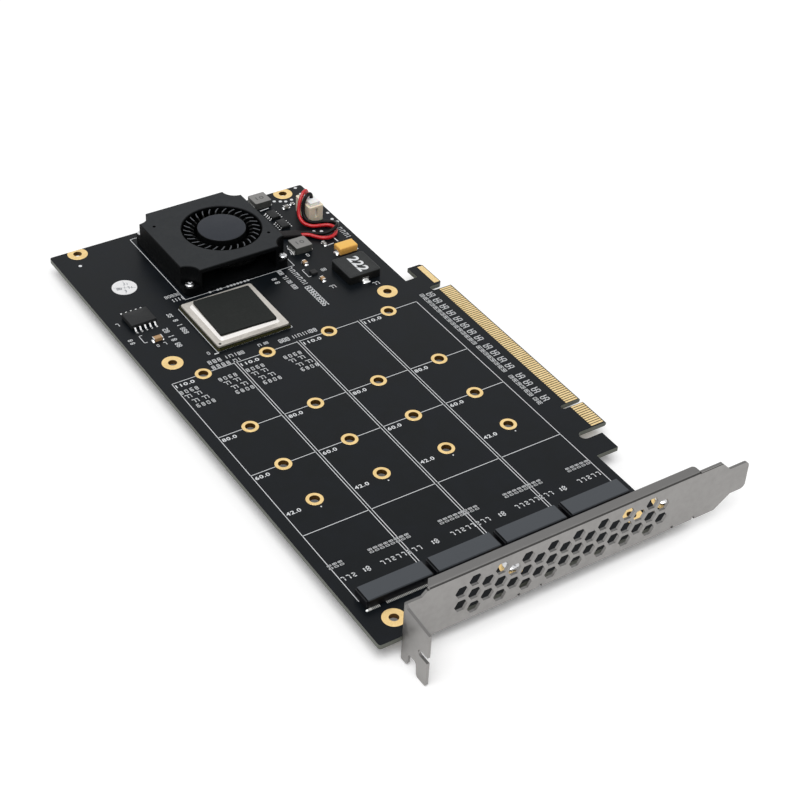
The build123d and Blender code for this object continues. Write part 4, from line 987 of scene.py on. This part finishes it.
def gull_leads(middle, count, pitch, half_body, reach, wide, height, along_x):
    """Leads on two sides of a chip. A lead's middle line leaves the body level at its height, falls
    smoothly between two shares of its reach and runs flat along the board, with half the lead's
    thickness above and below it."""
    share = np.linspace(0, 1, 14)
    fall = np.clip((share - 0.12) / 0.42, 0, 1)
    fall = fall * fall * (3 - 2 * fall)
    out = half_body - 0.1 + share * (reach + 0.1)
    line = height + (LEAD_THICK / 2 - height) * fall
    slope = np.gradient(line, out)
    lean = 1 / np.sqrt(1 + slope ** 2)
    section = np.array([(-1, -1), (1, -1), (1, 1), (-1, 1)])
    across = section[:, 0][None] * wide / 2 * np.ones((14, 1))
    outward = out[:, None] - section[:, 1][None] * LEAD_THICK / 2 * (slope * lean)[:, None]
    upward = line[:, None] + section[:, 1][None] * LEAD_THICK / 2 * lean[:, None]
    across = np.concatenate([across[:1] * 0, across, across[-1:] * 0])
    outward = np.concatenate([np.full((1, 4), out[0]), outward, np.full((1, 4), out[-1])])
    upward = np.concatenate([np.full((1, 4), line[0]), upward, np.full((1, 4), line[-1])])
    steps = (np.arange(count) - (count - 1) / 2) * pitch
    shapes = []
    for side in (-1, 1):
        along = steps[:, None, None] + across[None]
        away = np.broadcast_to(side * outward, along.shape)
        first, second = (away, along) if along_x else (along, away)
        points = np.stack([middle[0] + first, middle[1] + second, np.broadcast_to(upward, along.shape)], -1)
        shapes.append((points.reshape(-1, 3), repeated(grid_faces(16, 4, close_columns=True), count, 64)))
    return joined(*shapes)


def make_chip_leads():
    """Bent leads of the two regulators and of the memory chip."""
    small = [gull_leads(middle, count=4, pitch=1.27, half_body=REGULATOR_HALF[0], reach=0.95, wide=0.42,
                        height=0.62, along_x=True) for middle in REGULATOR_MIDDLES]
    piece("regulator_lead_rows", *joined(*small), solder, "tin", stands_for=("regulator_leads",), sharp=50)
    large = gull_leads(MEMORY_MIDDLE, count=5, pitch=1.75, half_body=MEMORY_HALF[1], reach=2.3, wide=0.55,
                       height=0.95, along_x=False)
    piece("memory_lead_rows", *large, solder, "tin", stands_for=("memory_leads",), sharp=50)


# Underside
PIN_PLACES = [(41.55, 173.3 + step * 2.5) for step in (-1, 0, 1)]
CHIP_MIDDLE = (-11.7, 131.1)
UNDERSIDE_PITCH = 5.2
UNDERSIDE_END = 0.66


def make_underside():
    """Solder cones round the header's pins, and the plated ends of the small capacitors below the chip."""
    cone = [(0.3, -2.45), (0.45, -2.0), (0.7, -1.7), (0.95, -BOARD_THICK), (0.3, -BOARD_THICK)]
    piece("pin_solder", *at_places(revolved(cone, (0, 0), 24, True), PIN_PLACES), solder, "tin")
    steps = (np.arange(4) - 1.5) * UNDERSIDE_PITCH
    spots = [(CHIP_MIDDLE[0] + x + side * UNDERSIDE_END, CHIP_MIDDLE[1] + y)
             for x in steps for y in steps for side in (-1, 1)]
    levels = [(0.06, -2.39), (0.0, -2.33), (0.0, -BOARD_THICK)]
    end = stacked_block((0, 0), (0.17, 0.42), 0.05, levels, steps=2)
    piece("underside_plating", *at_places(end, spots), tin, "tin")


# Printed lines and numbers on the board
INK_LOW = 0.0
INK_HIGH = 0.02
LINE_WIDE = 0.22
BAY_LINE_GAP = 0.45
OUTER_LINE = 45.5
SEGMENTS = {
    "a": (0.0, 0.5, 0.0), "b": (0.25, 0.25, 90.0), "c": (0.25, -0.25, 90.0), "d": (0.0, -0.5, 0.0),
    "e": (-0.25, -0.25, 90.0), "f": (-0.25, 0.25, 90.0), "g": (0.0, 0.0, 0.0),
}
DIGITS = {
    "0": "abcdef", "1": "bc", "2": "abged", "3": "abgcd", "4": "fgbc", "5": "afgcd", "6": "afgedc",
    "7": "abc", "8": "abcdefg", "9": "abcdfg", " ": "",
}


def small_number(text, x, y, height, step, turn=0.0, weight=0.2):
    """A row of plain digits as bars, too small to need round strokes. Each is a seven-bar figure half
    as wide as it is high. The row starts at x, y and runs along its turn."""
    rows = []
    angle = radians(turn)
    for place, sign in enumerate(text):
        for letter in DIGITS[sign]:
            across, up, lean = SEGMENTS[letter]
            along = place * step + (0.25 + across) * height
            rise = up * height
            middle_x = x + along * cos(angle) - rise * sin(angle)
            middle_y = y + along * sin(angle) + rise * cos(angle)
            rows.append((middle_x, middle_y, (0.5 + weight) * height, weight * height, lean + turn))
    return rows


def lettering(text, left, middle, high, wide, low=INK_LOW, top=INK_HIGH, turn=0.0, heavy=0.02):
    """A plain number in the default typeface as a flat solid of triangles. It is stretched to its
    height and width, then turned about the middle of its left end."""
    data = bpy.data.curves.new("number", "FONT")
    data.body = text
    data.extrude = 0.5
    data.offset = heavy
    data.space_character = 1.12
    data.resolution_u = 4
    holder = bpy.data.objects.new("number", data)
    bpy.context.collection.objects.link(holder)
    bpy.context.view_layer.update()
    mesh = bpy.data.meshes.new_from_object(holder.evaluated_get(bpy.context.evaluated_depsgraph_get()))
    mesh.calc_loop_triangles()
    points = np.empty(len(mesh.vertices) * 3)
    mesh.vertices.foreach_get("co", points)
    faces = np.empty(len(mesh.loop_triangles) * 3, int)
    mesh.loop_triangles.foreach_get("vertices", faces)
    bpy.data.objects.remove(holder)
    bpy.data.curves.remove(data)
    bpy.data.meshes.remove(mesh)
    points = points.reshape(-1, 3)
    lowest, highest = points.min(0), points.max(0)
    points = (points - lowest) / (highest - lowest) * (wide, high, top - low) + (0, -high / 2, low)
    angle = radians(turn)
    turned = np.column_stack([
        left + points[:, 0] * cos(angle) - points[:, 1] * sin(angle),
        middle + points[:, 0] * sin(angle) + points[:, 1] * cos(angle),
        points[:, 2],
    ])
    return turned, faces.reshape(-1, 3)


def line(x0, y0, x1, y1, wide=LINE_WIDE):
    """A printed line between two points as one bar."""
    run = np.array([x1 - x0, y1 - y0])
    return [((x0 + x1) / 2, (y0 + y1) / 2, float(np.hypot(*run)) + wide, wide,
             float(np.degrees(np.arctan2(run[1], run[0]))))]


def dots(places, radius):
    """Small round dots of ink."""
    section = [(0, INK_HIGH), (radius, INK_HIGH), (radius, INK_LOW), (0, INK_LOW)]
    return at_places(revolved(section, (0, 0), 16), places)


def bay_lines():
    """The drawn outlines of the four bays: lines between them and across them."""
    rows = line(-OUTER_LINE, 0.3, -OUTER_LINE, 110) + line(OUTER_LINE, 4.9, OUTER_LINE, 110)
    for middle in (-BAY_PITCH, 0, BAY_PITCH):
        for side in (-BAY_LINE_GAP, BAY_LINE_GAP):
            rows += line(middle + side, 2.9, middle + side, 110.3)
    for bay in BAYS:
        left = max(bay - BAY_PITCH / 2 + BAY_LINE_GAP, -OUTER_LINE)
        right = min(bay + BAY_PITCH / 2 - BAY_LINE_GAP, OUTER_LINE)
        for y in DRIVE_LENGTHS[1:]:
            rows += line(left, y, bay - DRIVE_RING - 0.2, y) + line(bay + DRIVE_RING + 0.2, y, right, y)
        rows += line(left, 30.2, right, 30.2)
    return rows


BLOWER_OUTLINE = (-20.85, 148.15, 20.75, 189.2)
CHIP_OUTLINE = (-25.3, 117.7, 2.26, 144.6)
NEAR_LINE_WIDE = 0.15


def rectangle(left, near, right, far, near_wide=LINE_WIDE):
    """A printed rectangle from its lowest corner to its highest."""
    rows = line(left, near, right, near, near_wide) + line(left, far, right, far)
    return rows + line(left, near, left, far) + line(right, near, right, far)


def outlines():
    """Outlines of the blower and of the chip, and the bar at the chip's first corner."""
    rows = rectangle(*BLOWER_OUTLINE, NEAR_LINE_WIDE) + rectangle(*CHIP_OUTLINE)
    return rows + line(-26.4, 117.2, -25.3, 117.2, 0.5)


def bay_marks():
    """Small plain numbers in the bays: at the far ends of the first two and near every socket."""
    rows = []
    for start in (-45.3, -31.7, -21.9, -8.3):
        rows += small_number("8068", start, 104.7, 1.5, 1.75)
        rows += small_number("6808", start + 1.6, 96.6, 1.5, 1.75)
        for shift, y in ((0.6, 102.2), (4.0, 102.2), (1.6, 99.3), (5.0, 99.3)):
            rows += small_number("77", start + shift, y, 1.4, 1.1)
    for start, count in ((-45.3, 3), (-32.0, 8), (-8.3, 8), (14.5, 8), (37.5, 5)):
        for place in range(count):
            rows += small_number("08", start + place * 1.75, 14.7, 1.1, 1.15, 90.0, weight=0.22)
    for start, count in ((-44.9, 3), (-32.0, 8), (-8.4, 8), (14.2, 8), (36.9, 5)):
        rows += small_number("77277277"[:count], start, 9.8, 1.4, 1.75, weight=0.22)
    for x, y in ((-36.8, 9.9), (-14.2, 9.6), (8.9, 9.5), (31.0, 9.6)):
        rows += small_number("8", x, y, 1.7, 1.0) + line(x - 0.8, y - 0.5, x - 0.8, y - 0.3, 0.4)
        rows += line(x - 0.8, y + 0.3, x - 0.8, y + 0.5, 0.4)
    return rows


def edge_marks():
    """Two rows of small plain numbers beside the edge contacts."""
    rows = []
    outer = [111.0 - step * 4.02 for step in range(8)]
    inner = [111.9 - step * 2.03 for step in range(16)]
    for y in (77.7, 73.7, 69.8, 65.7, 59.8, 55.7, 51.5, 46.8):
        outer.append(y)
        inner += [y + 1.0, y - 1.0]
    for y in outer:
        rows += small_number("55", 50.8, y, 2.1, 1.35, weight=0.14)
    for place, y in enumerate(inner):
        rows += small_number(("80", "38", "86")[place % 3], 49.2, y - 0.65, 1.3, 0.75, 90.0)
    return rows


# Numbers beside the parts: digits, start x and y, height, step, turn and weight
PART_NUMBERS = (
    ("888", -30.5, 114.0, 1.7, 1.7),
    ("11711", -24.8, 114.0, 1.3, 1.1),
    ("88", -20.0, 113.8, 1.5, 1.2),
    ("8888", -30.6, 111.2, 1.6, 1.75),
    ("171", -23.6, 111.2, 1.2, 1.0),
    ("888", -5.4, 112.9, 1.7, 1.3),
    ("1117111", -0.9, 112.9, 1.3, 0.95),
    ("88", 6.0, 112.9, 1.7, 1.4),
    ("17 88", -12.8, 114.4, 1.1, 0.85),
    ("0", -28.4, 118.6, 1.3, 1.0),
    ("80838", -26.2, 152.3, 1.4, 1.15, 0.0, 0.14),
    ("1111", -25.2, 149.6, 1.3, 1.1, 0.0, 0.25),
    ("88", 10.6, 144.6, 1.5, 2.2, -90.0),
    ("808 71 08 808", 14.4, 148.0, 1.4, 0.95, -90.0, 0.22),
    ("71717717171", 18.6, 147.7, 1.4, 1.0, -90.0, 0.22),
    ("8086808386", 18.2, 135.2, 2.0, 1.25, -90.0, 0.16),
    ("77", 24.8, 131.0, 1.4, 1.1),
    ("1717171", 46.4, 161.6, 1.5, 1.05, -90.0),
    ("0", 27.6, 151.4, 1.5, 1.0),
    ("88", 27.4, 141.2, 1.3, 1.0),
    ("77", 38.6, 125.6, 1.4, 1.2),
    ("88", -46.6, 137.0, 1.4, 1.7, -90.0),
    ("7", -46.8, 146.2, 1.4, 1.0),
    ("55", -29.4, 143.6, 1.3, 1.1, -90.0, 0.3),
    ("8 1 888", -29.0, 139.8, 1.5, 1.25, -90.0),
    ("28 1 8 88", -34.2, 137.0, 1.6, 1.25, -90.0),
    ("0 7", -40.4, 130.0, 1.2, 1.3),
)
# Lines beside the parts: both ends, and the width where it isn't the usual one
PART_LINES = (
    (21.6, 144.4, 21.6, 139.8),
    (21.6, 139.8, 22.4, 139.8),
    (21.6, 144.4, 22.4, 144.4),
    (41.45, 156.8, 41.6, 153.9, 0.4),
    (37.3, 153.3, 39.5, 153.5, 0.3),
    (27.6, 183.6, 30.9, 183.9, 0.35),
    (28.8, 186.2, 32.0, 186.4, 0.35),
    (24.6, 159.6, 23.3, 154.4, 0.35),
    (46.6, 175.0, 46.9, 173.6, 0.5),
    (-43.2, 137.4, -43.2, 133.3),
    (-43.2, 137.4, -42.2, 137.4),
    (-43.2, 133.3, -42.2, 133.3),
)
BLOWER_DOTS = [(x, 148.12) for x in (-11.7, -8.8, -7.6, -5.0, -3.7, -2.5, -1.2, 0.0, 1.5, 2.7)]
WHITE_DOTS = [(-42.5, 182.8), (46.2, 191.0), (47.9, 171.1), (47.2, 166.9), (41.0, 184.8), (37.4, 163.15),
              (39.8, 161.9), (27.6, 166.6), (35.0, 186.8), (36.9, 185.7), (38.6, 184.8), (48.0, 164.6)]
BAY_DOTS = [(bay, 38.3) for bay in BAYS]


def part_marks():
    """Small plain numbers and lines beside the chip, the blower and the power parts."""
    rows = []
    for mark in PART_NUMBERS:
        rows += small_number(*mark)
    for mark in PART_LINES:
        rows += line(*mark)
    return rows


def print_board():
    """The board's print: outlines and small numbers as bars, larger numbers, and dots."""
    rows = bay_lines() + outlines() + bay_marks() + edge_marks() + part_marks()
    piece("board_print", *strokes(rows, INK_LOW, INK_HIGH), ink, "solder_mask")
    labels = []
    for bay in BAYS:
        for length, wide in zip(DRIVE_LENGTHS, (4.8, 4.8, 4.8, 6.4)):
            labels.append(lettering(f"{length:.1f}", bay - BAY_PITCH / 2 + 1.0, length - 1.8, 1.5, wide))
    piece("bay_numbers", *joined(*labels), ink, "solder_mask")
    spots = [dots(BLOWER_DOTS, radius=0.5), dots(WHITE_DOTS, radius=0.6), dots(BAY_DOTS, radius=0.25)]
    piece("print_dots", *joined(*spots), ink, "solder_mask")


# Faint print of the round sticker, from its middle
STICKER_NUMBERS = (
    ("88", -2.6, 0.2, 1.1, 0.9),
    ("71", 0.8, -0.6, 1.1, 0.9),
    ("7", -0.9, -2.2, 1.0, 0.9),
    ("11", 0.4, 1.8, 1.0, 0.8),
)
STICKER_TURN = -20
STICKER_TOP = 0.1
LID_CORNER = 1.75
PRINT_HIGH = 0.01


def print_parts():
    """Plain numbers on the inductors, the print of the round sticker and the dot on the chip's lid."""
    number = lettering("222", 38.0, 139.2, high=4.0, wide=9.0, low=CHOKE_HIGH, top=CHOKE_HIGH + PRINT_HIGH,
                       turn=-90.0, heavy=0.035)
    piece("choke_number", *number, ink, "black_moulding")
    low, high = INDUCTOR_HIGH, INDUCTOR_HIGH + PRINT_HIGH
    marks = [lettering("10", x - 1.5, y, high=1.9, wide=3.0, low=low, top=high) for x, y in INDUCTOR_MIDDLES]
    piece("inductor_numbers", *joined(*marks), dark_ink, "grey_moulding")
    x, y = centre("sticker")[:2]
    rows = line(x - 3.4, y + 1.4, x + 3.2, y - 1.8, 0.12) + line(x - 1.0, y - 3.4, x + 1.1, y + 3.5, 0.12)
    for text, across, up, height, step in STICKER_NUMBERS:
        rows += small_number(text, x + across, y + up, height, step, STICKER_TURN)
    piece("sticker_print", *strokes(rows, STICKER_TOP, STICKER_TOP + 0.008), sticker_ink, "sticker_paper")
    low, high = LID_CORNER, LID_CORNER + PRINT_HIGH
    spot = revolved([(0, high), (0.45, high), (0.45, low), (0, low)], (-23.6, 119.1), 20)
    piece("first_corner_dot", *spot, inner_dark, "lid_metal")


make_world(sky=0.4)
make_floor()
make_lamp("key", direction=(-0.25, -0.25, 1.0), level=0.6, spread=50)
make_camera()
dress_nodes()
make_lead("fan_lead_red", RED_ROUTE, red_insulation)
make_lead("fan_lead_black", BLACK_ROUTE, black_insulation)
make_rings()
wheel = joined(hub_shape(), blade_shapes())
piece("blower_wheel", *wheel, wheel_plastic, "fan_plastic", "impeller", ("impeller",))
make_screws()
make_moulded_parts()
make_capacitors()
solder_joints()
make_chip_leads()
make_underside()
print_board()
print_parts()

bpy.context.scene.view_settings.view_transform = "Standard"
